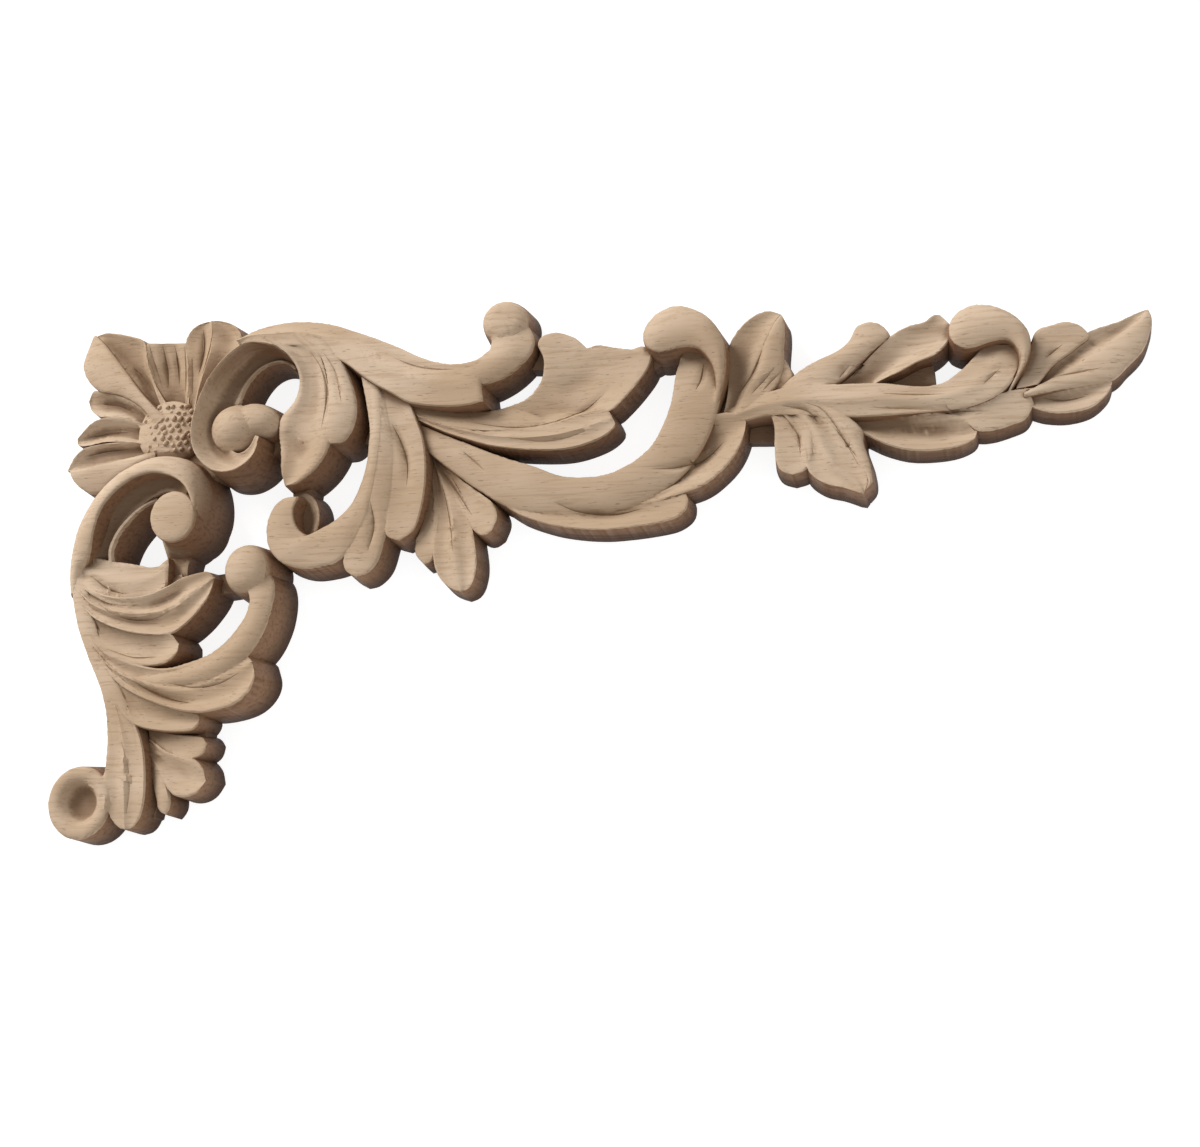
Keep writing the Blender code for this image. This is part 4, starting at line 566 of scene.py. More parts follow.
VEINS = (
    Vein(((34, 16), (45, 28), (57, 43)), 8.5, 0.5, 1.6),
    Vein(((50, 33), (57, 40), (66, 52)), 9),
    Vein(((66, 20), (70, 34), (77, 52)), 7),
    Vein(((76, 20), (78, 34), (81, 52)), 6.5),
    Vein(((85, 21), (86, 34), (88, 50)), 7),
    Vein(((92, 21), (93, 38), (93, 56)), 8),
    Vein(((97, 30), (98, 44), (99, 58)), 8.5, 0.4),
    Vein(((104, 9), (105, 24), (103, 44)), 8, 0.8),
    Vein(((114, 12), (111, 28), (107, 46)), 8, 0.5),
    Vein(((27, 59), (42, 62), (56, 69)), 7.5, 0.5),
    Vein(((20, 84), (36, 82), (52, 83)), 7, 0.4),
    Vein(((20, 100), (36, 97), (56, 97)), 6, 0.5),
    Vein(((171, 90), (178, 101), (187, 110)), 10, 1.1, 2.2),
    Vein(((188, 33), (196, 45), (200, 58), (200, 72), (197, 90)), 12, 0.6, 0.9),
    Vein(((200, 37), (208, 51), (213, 73)), 12, 0.5),
    Vein(((204, 24), (226, 35), (248, 47), (264, 58)), 12, 0.5, 1.2),
    Vein(((250, 42), (264, 48), (278, 51), (292, 52)), 12, 0.4),
    Vein(((325, 12), (328, 18), (331, 25)), 11, 0.6, 1.2),
    Vein(((235, 143), (237, 160), (233, 178)), 10, 0.6),
    Vein(((249, 89), (256, 104), (260, 118), (260, 134)), 10, 0.8, 0.9),
    Vein(((285, 133), (291, 158), (295, 182)), 7.5, 0.6, 0.9),
    Vein(((283, 122), (296, 140), (308, 158)), 7.5, 0.4),
    Vein(((307, 92), (334, 96), (360, 94), (380, 87), (398, 74)), 9, 0.7),
    Vein(((362, 72), (378, 66), (394, 60)), 9, 0.5, 2),
    Vein(((330, 103), (352, 106), (368, 105), (384, 101)), 10, 0.5),
    Vein(((364, 151), (380, 158), (404, 161), (424, 158)), 7.5, 0.5, 0.9),
    Vein(((300, 112), (309, 120), (316, 127)), 9, 0.4),
    Vein(((430, 133), (447, 132), (465, 126), (478, 115)), 7.5, 0.6),
    Vein(((466, 62), (464, 72), (460, 80)), 9, 0.4),
    Vein(((489, 82), (498, 70), (505, 54)), 8.5, 0.6),
    Vein(((497, 86), (504, 78), (513, 68)), 8, 0.5),
    Vein(((505, 84), (511, 77), (517, 71)), 7.5, 0.4),
    Vein(((554, 78), (558, 73), (562, 69)), 8, 0.5),
    Vein(((563, 76), (567, 71), (571, 66)), 8, 0.5),
    Vein(((532, 93), (544, 99), (556, 117), (566, 138)), 9, 0.6),
    Vein(((517, 94), (533, 98), (541, 107)), 9, 0.5),
    Vein(((520, 103), (527, 114), (528, 128)), 9, 0.6),
    Vein(((582, 90), (602, 92), (622, 93)), 9, 0.5),
    Vein(((573, 99), (596, 101), (620, 103), (649, 105)), 8.5, 0.5, 0.9),
    Vein(((646, 88), (651, 83), (657, 78)), 9, 0.4),
    Vein(((580, 107), (602, 114), (624, 117)), 6, 0.5, 1.2),
    Vein(((685, 73), (691, 68), (697, 64)), 7.5, 0.5),
    Vein(((690, 86), (706, 84), (720, 82)), 7, 0.4),
    Vein(((682, 99), (696, 101), (710, 99)), 6.5, 0.4),
    Vein(((30, 187), (42, 196), (57, 201)), 10, 0.6, 0.9),
    Vein(((36, 206), (54, 217), (78, 219), (98, 211)), 10, 0.7, 1),
    Vein(((74, 210), (88, 205), (104, 195)), 9, 0.7, 1.2),
    Vein(((48, 240), (66, 246), (84, 246)), 9, 0.3),
    Vein(((66, 262), (80, 270), (96, 276), (112, 279)), 10, 0.6, 0.9),
    Vein(((92, 264), (112, 268), (130, 266), (146, 259)), 11, 0.5),
    Vein(((61, 303), (66, 318), (68, 336), (67, 354)), 9, 0.5, 1),
    Vein(((92, 312), (104, 322), (114, 332)), 8, 0.5, 1.2),
)

LEAVES = FLOWER + UPPER_SCROLL + UPPER_LEAVES + LONG_ARM + OUTER_SPRAY + LOWER_SCROLL + SHORT_ARM + GROUND


@dataclass(frozen=True)
class Pattern:
    """How the drawn pattern becomes real places, in metres."""

    step: float = 0.0003  # metres in one step of the pattern
    eye: tuple[float, float] = (620.0, 430.0)  # the pattern point straight below the eye
    origin: tuple[float, float] = (99.0, 95.0)  # the pattern point of x = 0, y = 0
    eye_height: float = 0.321

    def place(self, points: Array) -> Array:
        """Sets (across, down, height) pattern points where they really stand.

        A point at height z is seen further from the spot below the eye, so its way to that spot is shortened
        to the share 1 - z / eye height before it is turned into metres.

        Args:
            points: pattern points, (..., 3), heights in millimetres.

        Returns:
            The places x, y, z in metres, (..., 3).
        """
        z = points[..., 2] * MILLIMETRE
        near = 1 - z / self.eye_height
        x = self.eye[0] + (points[..., 0] - self.eye[0]) * near - self.origin[0]
        y = self.eye[1] + (points[..., 1] - self.eye[1]) * near - self.origin[1]
        return np.stack([x * self.step, -y * self.step, z], axis=-1)

    def viewpoint(self) -> Vector:
        """The eye's own place, in metres."""
        x = (self.eye[0] - self.origin[0]) * self.step
        return Vector((x, (self.origin[1] - self.eye[1]) * self.step, self.eye_height))


@dataclass
class Sheet:
    """One carved face: its points, its triangles and the closed loop of its rim, all as arrays."""

    name: str
    points: Array
    triangles: Array
    rim: Array


def curve_through(knots: Edge, count: int) -> Array:
    """Spaces points evenly on the Catmull-Rom curve through the knots.

    On a span from b to c with neighbours a and d, the curve is b plus half of (c - a) t, (2a - 5b + 4c - d) t
    squared and (3b - a - 3c + d) t cubed.

    Args:
        knots: the points that the curve passes through.
        count: how many points are wanted.

    Returns:
        The points, (count, 3).
    """
    inner = np.array(knots, float)
    k = np.vstack([2 * inner[0] - inner[1], inner, 2 * inner[-1] - inner[-2]])
    a, b, c, d = (k[i: len(k) - 3 + i, None, :] for i in range(4))
    t = np.linspace(0, 1, SPAN_SAMPLES, endpoint=False)[None, :, None]
    spans = b + 0.5 * ((c - a) * t + (2 * a - 5 * b + 4 * c - d) * t**2 + (3 * b - a - 3 * c + d) * t**3)
    line = np.vstack([spans.reshape(-1, inner.shape[1]), inner[-1:]])
    along = np.concatenate([[0], np.cumsum(np.linalg.norm(np.diff(line[:, :2], axis=0), axis=1))])
    at = np.linspace(0, along[-1], count)
    return np.stack([np.interp(at, along, line[:, i]) for i in range(inner.shape[1])], axis=1)


def edge_length(edge: Edge) -> float:
    """The length of an edge in pattern steps, straight from knot to knot."""
    return float(np.linalg.norm(np.diff(np.array(edge)[:, :2], axis=0), axis=1).sum())


def distance_to_line(points: Array, line: Array) -> Array:
    """How far each point is from a line of straight pieces, seen from above.

    Each point is dropped on each piece, at the share of the piece between 0 and 1 that is nearest to it.

    Args:
        points: (n, 2) or more columns, of which the first two are used.
        line: (m, 2) or more columns.

    Returns:
        The distances, (n,), in the points' own unit.
    """
    start, step = line[None, :-1, :2], np.diff(line[:, :2], axis=0)[None]
    away = points[:, None, :2] - start
    share = np.clip((away * step).sum(2) / np.maximum((step * step).sum(2), TINY), 0, 1)
    return np.linalg.norm(away - share[..., None] * step, axis=2).min(axis=1)


def smooth_step(values: Array, low: float, high: float) -> Array:
    """Rises from 0 at low to 1 at high along 3 t squared - 2 t cubed."""
    t = np.clip((values - low) / (high - low), 0, 1)
    return t * t * (3 - 2 * t)


def blur(field_of_values: Array, reach: float) -> Array:
    """Blurs a height field with a bell curve of the given reach in cells, first down and then across."""
    half = int(BELL_REACH * reach)
    bell = np.exp(-0.5 * (np.arange(-half, half + 1) / reach) ** 2)
    bell /= bell.sum()
    down = sum(w * np.roll(field_of_values, i - half, axis=0) for i, w in enumerate(bell))
    return sum(w * np.roll(down, i - half, axis=1) for i, w in enumerate(bell))


class Cut(Enum):
    """What a tool does to the wood."""

    JOIN = "UNION"
    TAKE_AWAY = "DIFFERENCE"


@dataclass
class Carver:
    """Cuts the drawn leaves, bosses, seeds and veins as closed solids."""

    pattern: Pattern
    spacing: float = 1.9  # pattern steps between the points of a fine face
    ground_spacing: float = 5.0
    crowding: float = 0.6  # how far the columns crowd towards the two edges of a leaf, 0 to 1
    edge_roll: float = 0.00055  # radius of the rounded edges
    draft: float = 0.08  # how far a wall leans outward for each unit it goes down
    stock_below: float = 0.002
    stock_step: float = 0.00007  # how much deeper each solid goes than the last
    tip_share: float = 0.3  # share of a leaf over which its relief dies out towards the tip
    round_sides: int = 48
    least_ribs: int = 5
    least_columns: int = 4
    least_rings: int = 4
    least_cuts: int = 6  # places along a vein's line
    valley_points: int = 40  # points along a valley's line
    vein_lift: float = 0.0008  # how far the parting tool stands out of the wood
    vein_spacing: float = 1.3
    line_depth: float = 0.0003  # how deep it cuts under the bottom of a soft valley
    line_slope: float = 0.8  # half its width for each unit of height
    vein_fade: float = 0.6  # power of the sine that a vein dies out with
    vein_end: float = 0.02  # share of its way and of its depth that a vein starts and ends at
    end_width: float = 0.4  # share of the line's width that is left at its ends
    made: int = 0

    def leaf_face(self, leaf: Leaf, spacing: float) -> Array:
        """Works out the carved face of a leaf on a grid of ribs from root to tip.

        A rib runs straight from edge to edge. Over it the height gains crown times 4 t (1 - t) and loses dish
        times the sine of its flutes, both fading with the root of the way left to the tip. Near the outline
        it rolls down along a quarter circle.

        Args:
            leaf: the leaf's edges and relief.
            spacing: pattern steps between its points.

        Returns:
            The places, (ribs, columns, 3).
        """
        reach = max(edge_length(leaf.left), edge_length(leaf.right))
        ribs = max(self.least_ribs, int(round(reach / spacing)) + 1)
        left = self.pattern.place(curve_through(leaf.left, ribs))
        right = self.pattern.place(curve_through(leaf.right, ribs))
        width = float(np.linalg.norm(right - left, axis=1).max()) / self.pattern.step
        even = np.linspace(0, 1, max(self.least_columns, int(round(width / spacing)) + 1))
        t = (1 - self.crowding) * even + self.crowding * (0.5 - 0.5 * np.cos(math.pi * even))
        grid = left[:, None, :] * (1 - t[None, :, None]) + right[:, None, :] * t[None, :, None]
        fade = np.sqrt(np.clip(np.linspace(1, 0, ribs) / self.tip_share, 0, 1))[:, None]
        inside = np.clip((t - leaf.rim) / (1 - 2 * leaf.rim), 0, 1)
        lift = leaf.crown * 4 * t * (1 - t) - leaf.dish * np.abs(np.sin(leaf.flutes * math.pi * inside))
        grid[..., 2] += fade * lift * MILLIMETRE
        outline = np.vstack([left, right[::-1]])
        away = distance_to_line(grid.reshape(-1, 3), outline).reshape(grid.shape[:2])
        grid[..., 2] -= self.roll(away)
        return grid

    def roll(self, away: Array) -> Array:
        """How far a rounded edge has dropped at each distance inside the outline, along a quarter circle."""
        inward = np.clip(1 - away / self.edge_roll, 0, 1)
        return self.edge_roll * (1 - np.sqrt(1 - inward**2))

    def boss_face(self, boss: Boss) -> Array:
        """Works out a boss as rings round its middle: an ellipse scaled by the radius shares of its profile.

        Args:
            boss: its middle, radii, turn and profile.

        Returns:
            The places, (rings, sides, 3).
        """
        angle = np.linspace(0, 2 * math.pi, self.round_sides, endpoint=False)
        turn = math.radians(boss.turn)
        a, b = boss.radii[0] * np.cos(angle), boss.radii[1] * np.sin(angle)
        u = boss.middle[0] + a * math.cos(turn) - b * math.sin(turn)
        v = boss.middle[1] + a * math.sin(turn) + b * math.cos(turn)
        edge = self.pattern.place(np.stack([u, v, boss.profile[-1][1] + 0 * u], axis=-1))
        middle = edge.mean(axis=0)
        knots = tuple((share, height) for share, height in boss.profile)
        rings = max(self.least_rings, int(round(max(boss.radii) / self.spacing)))
        profile = curve_through(knots, rings + 1)
        places = middle + profile[:, :1, None] * (edge - middle)
        away = (1 - profile[:, 0]) * min(boss.radii) * self.pattern.step
        places[..., 2] = (profile[:, 1] * MILLIMETRE - self.roll(away))[:, None]
        return places

    def sheet(self, name: str, face: Array, round_trip: bool) -> Sheet:
        """Joins a grid of places into triangles, and merges points that fall together at tips and middles.

        Args:
            name: what the face is called.
            face: the places, (rows, columns, 3).
            round_trip: whether the last column joins the first.

        Returns:
            The face with its rim loop, facing up.
        """
        rows, columns = face.shape[:2]
        number = np.arange(rows * columns).reshape(rows, columns)
        if round_trip:
            number = np.hstack([number, number[:, :1]])
            loop = number[-1, :-1]
        else:
            loop = np.concatenate([number[:-1, 0], number[-1, :-1], number[:0:-1, -1], number[0, :0:-1]])
        a, b, c, d = number[:-1, :-1], number[1:, :-1], number[1:, 1:], number[:-1, 1:]
        triangles = np.stack([a, b, c, a, c, d], axis=-1).reshape(-1, 3)
        _, first, same = np.unique(np.round(face.reshape(-1, 3) / MERGE), axis=0, return_index=True,
                                   return_inverse=True)
        same = same.reshape(-1)
        triangles, loop = same[triangles], same[loop]
        points = face.reshape(-1, 3)[first]
        whole = (triangles != np.roll(triangles, 1, axis=1)).all(axis=1)
        triangles = triangles[whole]
        loop = loop[loop != np.roll(loop, 1)]
        p = points[triangles]
        up = np.cross(p[:, 1] - p[:, 0], p[:, 2] - p[:, 0])[:, 2].sum()
        if up < 0:
            triangles = triangles[:, ::-1]
        x, y = points[loop, 0], points[loop, 1]
        if (x * np.roll(y, -1) - np.roll(x, -1) * y).sum() < 0:
            loop = loop[::-1]
        return Sheet(name, points, triangles, loop)

    def solid(self, sheet: Sheet) -> bpy.types.Object:
        """Closes a face with walls that lean outward as they go down, and a copy of the face on the floor.

        The way out at a rim point is the direction from its last neighbour to its next, turned a quarter to
        the right.

        Args:
            sheet: the face and its rim, anticlockwise seen from above.

        Returns:
            The new object, one closed mesh.
        """
        floor = -self.stock_below - self.stock_step * self.made
        self.made += 1
        rim = sheet.points[sheet.rim]
        along = np.roll(rim, -1, axis=0) - np.roll(rim, 1, axis=0)
        out = np.stack([along[:, 1], -along[:, 0]], axis=1)
        out /= np.maximum(np.linalg.norm(out, axis=1, keepdims=True), TINY)
        low = sheet.points.copy()
        low[sheet.rim, :2] += out * (self.draft * (rim[:, 2:] - floor))
        low[:, 2] = floor
        count = len(sheet.points)
        here, next_one = sheet.rim, np.roll(sheet.rim, -1)
        walls = np.vstack([np.stack([here, here + count, next_one + count], axis=1),
                           np.stack([here, next_one + count, next_one], axis=1)])
        triangles = np.vstack([sheet.triangles, sheet.triangles[:, ::-1] + count, walls])
        return mesh_object(sheet.name, np.vstack([sheet.points, low]), triangles)

    def valley(self, vein: Vein, places: Array) -> Array:
        """How deep the soft valley along a vein is at each place.

        It is the vein's depth times a bell curve of the distance to its line, and it dies out at both ends
        with a power of the sine of the way along.

        Args:
            vein: the line, with its depth and width.
            places: points of the work, (n, 3).

        Returns:
            The depths, (n,), in metres.
        """
        knots = tuple((u, v, vein.height) for u, v in vein.line)
        line = self.pattern.place(curve_through(knots, self.valley_points))[:, :2]
        reach = vein.width * MILLIMETRE
        low, high = line.min(axis=0) - BELL_REACH * reach, line.max(axis=0) + BELL_REACH * reach
        inside = (places[:, :2] > low) & (places[:, :2] < high)
        near = np.flatnonzero(inside.all(axis=1))
        gaps = np.linalg.norm(places[near, None, :2] - line[None], axis=2)
        way = np.clip(gaps.argmin(axis=1) / (len(line) - 1), self.vein_end, 1 - self.vein_end)
        deep = np.zeros(len(places))
        bell = np.exp(-((gaps.min(axis=1) / reach) ** 2))
        deep[near] = vein.depth * MILLIMETRE * bell * np.sin(math.pi * way) ** self.vein_fade
        return deep

    def vein_cutter(self, vein: Vein, wood_skin: BVHTree) -> bpy.types.Object:
        """Carries the parting tool's V along the bottom of a valley, shallow at both ends.

        The point of the V lies under the wood by the line depth times a power of the sine of the way along,
        and its two upper edges stand above the wood and off sideways by the slope times their height over
        the point.

        Args:
            vein: the line, with its depth and width.
            wood_skin: the surface of the wood.

        Returns:
            The new object, one closed mesh.
        """
        knots = tuple((u, v, vein.height) for u, v in vein.line)
        count = max(self.least_cuts, int(edge_length(knots) / self.vein_spacing))
        line = self.pattern.place(curve_through(knots, count))
        way = np.linspace(0, 1, count)
        bite = np.maximum(np.sin(math.pi * way) ** self.vein_fade, self.vein_end)
        along = np.gradient(line[:, :2], axis=0)
        side = np.stack([-along[:, 1], along[:, 0]], axis=1)
        side /= np.linalg.norm(side, axis=1, keepdims=True)
        straight_down = Vector((0.0, 0.0, -1.0))
        wood = np.array([wood_skin.ray_cast(Vector((x, y, 1.0)), straight_down)[0].z for x, y, _ in line])
        deep = wood - bite * self.line_depth
        top = wood + self.vein_lift
        breadth = self.end_width + (1 - self.end_width) * bite
        spread = (self.line_slope * (top - deep) * breadth)[:, None]
        tool = np.stack([np.column_stack([line[:, :2] + side * spread, top]),
                         np.column_stack([line[:, :2], deep]),
                         np.column_stack([line[:, :2] - side * spread, top])], axis=1)
        number = np.arange(count * 3).reshape(count, 3)
        wrapped = np.hstack([number, number[:, :1]])
        a, b, c, d = wrapped[:-1, :-1], wrapped[1:, :-1], wrapped[1:, 1:], wrapped[:-1, 1:]
        skin = np.stack([a, b, c, a, c, d], axis=-1).reshape(-1, 3)
        ends = np.array([number[0], number[-1][::-1]])
        return mesh_object("vein", tool.reshape(-1, 3), outward(tool.reshape(-1, 3), np.vstack([skin, ends])))


def outward(points: Array, triangles: Array) -> Array:
    """Turns the triangles of a closed mesh outwards if its volume comes out negative."""
    p = points[triangles]
    volume = (p[:, 0] * np.cross(p[:, 1], p[:, 2])).sum()
    return triangles if volume > 0 else triangles[:, ::-1]


def mesh_object(name: str, points: Array, triangles: Array) -> bpy.types.Object:
    """Puts arrays of points and triangles into a new mesh object, unlinked."""
    data = bpy.data.meshes.new(name)
    data.vertices.add(len(points))
    data.vertices.foreach_set("co", points.astype(np.float32).ravel())
    data.loops.add(triangles.size)
    data.loops.foreach_set("vertex_index", triangles.astype(np.int32).ravel())
    data.polygons.add(len(triangles))
    data.polygons.foreach_set("loop_start", np.arange(0, triangles.size, 3, dtype=np.int32))
    data.update(calc_edges=True)
    return bpy.data.objects.new(name, data)


@dataclass
class HeightField:
    """Heights of the carved faces on a level grid, to sand the wood by and to shade its hollows."""

    low: tuple[float, float]
    high: tuple[float, float]
    cell: float = 0.0002
    spare: int = 3  # cells past the box
    sanded_window: float = 2.5  # how many times its reach the sanding looks at
    last_cell: float = 1.001  # how far from the end of the grid a reading between cells stays
    heights: Array = field(init=False)

    def __post_init__(self) -> None:
        """Lays out an empty grid over the box."""
        size = [int((b - a) / self.cell) + self.spare for a, b in zip(self.low, self.high)]
        self.heights = np.zeros(size)

    def cells(self, places: Array) -> tuple[Array, Array]:
        """The grid cell of each place, kept inside the grid."""
        i = ((places[..., 0] - self.low[0]) / self.cell + 0.5).astype(int)
        j = ((places[..., 1] - self.low[1]) / self.cell + 0.5).astype(int)
        return np.clip(i, 0, self.heights.shape[0] - 1), np.clip(j, 0, self.heights.shape[1] - 1)

    def lay(self, face: Array) -> None:
        """Keeps the higher of the face and what lies there already, in each cell."""
        np.maximum.at(self.heights, self.cells(face), face[..., 2])

    def around(self) -> list[Array]:
        """The heights of each cell and of its eight neighbours."""
        return [np.roll(self.heights, (i, j), axis=(0, 1)) for i in (-1, 0, 1) for j in (-1, 0, 1)]

    def close(self) -> None:
        """Fills the cells that no point fell in from their highest neighbour."""
        self.heights = np.where(self.heights > 0, self.heights, np.max(self.around(), axis=0))

    def drops(self) -> Array:
        """How far the highest of each cell and its eight neighbours stands over the lowest."""
        return np.ptp(self.around(), axis=0)

    def change_when_softened(self, reach: float, keep: float) -> Array:
        """How far each cell moves when small steps are sanded soft and high steps are kept.

        A cell goes to the mean of its neighbours, each weighted by a bell curve of its distance and another
        of its difference in height.

        Args:
            reach: width of the first bell, in cells.
            keep: width of the second bell, in metres.

        Returns:
            The change of height, in metres, for each cell.
        """
        half = int(self.sanded_window * reach)
        total = np.zeros(self.heights.shape)
        weights = np.full(self.heights.shape, TINY)
        for i in range(-half, half + 1):
            for j in range(-half, half + 1):
                other = np.roll(self.heights, (i, j), axis=(0, 1))
                weight = (other > 0) * np.exp(-((other - self.heights) / keep) ** 2)
                weight *= math.exp(-0.5 * (i * i + j * j) / reach**2)
                total += weight * other
                weights += weight
        return np.where(self.heights > 0, total / weights - self.heights, 0)

    def between_cells(self, values: Array, places: Array) -> Array:
        """Reads a grid of values at the places, mixed from the four cells round each."""
        i = np.clip((places[..., 0] - self.low[0]) / self.cell, 0, values.shape[0] - self.last_cell)
        j = np.clip((places[..., 1] - self.low[1]) / self.cell, 0, values.shape[1] - self.last_cell)
        a, b = i.astype(int), j.astype(int)
        x, y = i - a, j - b
        low = values[a, b] * (1 - x) + values[a + 1, b] * x
        high = values[a, b + 1] * (1 - x) + values[a + 1, b + 1] * x
        return low * (1 - y) + high * y

    def hollow_shade_depth(self, places: Array, reach: float) -> Array:
        """How far each place lies under the mean height of the wood around it, over the reach in cells."""
        wood = (self.heights > 0).astype(float)
        mean = blur(self.heights * wood, reach) / np.maximum(blur(wood, reach), TINY)
        return mean[self.cells(places)] - places[..., 2]


class Wire:
    """A value in the shader tree that Python's own signs work on: each sign adds one Math node."""

    def __init__(self, bench: "ShaderBench", socket: bpy.types.NodeSocket) -> None:
        """Keeps the tree's bench and the socket that the value comes from."""
        self.bench = bench
        self.socket = socket

    def __add__(self, other: "Wire | float") -> "Wire":
        """This plus other."""
        return self.bench.math("ADD", self, other)

    def __radd__(self, other: float) -> "Wire":
        """Other plus this."""
        return self.bench.math("ADD", other, self)

    def __sub__(self, other: "Wire | float") -> "Wire":
        """This minus other."""
        return self.bench.math("SUBTRACT", self, other)

    def __rsub__(self, other: float) -> "Wire":
        """Other minus this."""
        return self.bench.math("SUBTRACT", other, self)

    def __mul__(self, other: "Wire | float") -> "Wire":
        """This times other."""
        return self.bench.math("MULTIPLY", self, other)

    def __rmul__(self, other: float) -> "Wire":
        """Other times this."""
        return self.bench.math("MULTIPLY", other, self)


class ShaderBench:
    """Lays out the shader tree of one material."""

    noise_roughness = 0.55

    def __init__(self, name: str) -> None:
        """Starts a material with its Principled shader.

        Args:
            name: what the material is called.
        """
        self.material = bpy.data.materials.new(name)
        self.material.use_nodes = True
        self.tree = self.material.node_tree
        self.shader = self.tree.nodes["Principled BSDF"]

    def node(self, kind: str, settings: dict[str, object] | None = None,
             sockets: dict[str | int, object] | None = None, output: int | str = 0) -> Wire:
        """Adds any node.

        Args:
            kind: the node's type.
            settings: its settings, set first.
            sockets: a number, a colour or vector, or a Wire for each input, by name or place.
            output: which output the result reads.

        Returns:
            The output as a Wire.
        """
        made = self.tree.nodes.new(kind)
        for key, value in (settings or {}).items():
            setattr(made, key, value)
        for key, value in (sockets or {}).items():
            self.feed(made.inputs[key], value)
        return Wire(self, made.outputs[output])

    def feed(self, socket: bpy.types.NodeSocket, value: object) -> None:
        """Links a Wire to the socket, or sets it to a plain value."""
        if isinstance(value, Wire):
            self.tree.links.new(value.socket, socket)
        else:
            socket.default_value = value

    def math(self, operation: str, *values: "Wire | float") -> Wire:
        """One Math node on the given values."""
        return self.node("ShaderNodeMath", {"operation": operation}, dict(enumerate(values)))

    def ramp(self, value: Wire, low: float, high: float) -> Wire:
        """Rises smoothly from 0 where the value is low to 1 where it is high."""
        sockets = {"Value": value, "From Min": low, "From Max": high}
        return self.node("ShaderNodeMapRange", {"interpolation_type": "SMOOTHSTEP"}, sockets)

    def mix(self, factor: Wire, first: object, second: object) -> Wire:
        """Goes from the first colour to the second by the factor."""
        sockets = {0: factor, 6: first, 7: second}
        return self.node("ShaderNodeMix", {"data_type": "RGBA"}, sockets, output=2)

    def stretched_noise(self, stretch: tuple[float, float, float], detail: float = 2.0) -> Wire:
        """Noise on the object's own coordinates, with this many bumps in a metre along each axis."""
        place = self.node("ShaderNodeTexCoord", output="Object")
        scaled = self.node("ShaderNodeMapping", {"vector_type": "POINT"}, {"Vector": place, "Scale": stretch})
        return self.node("ShaderNodeTexNoise", {"noise_dimensions": "3D"}, {
            "Vector": scaled, "Scale": 1.0, "Detail": detail, "Roughness": self.noise_roughness})

    def attribute(self, name: str) -> Wire:
        """A value that the mesh carries under this name."""
        return self.node("ShaderNodeAttribute", {"attribute_name": name}, output="Fac")


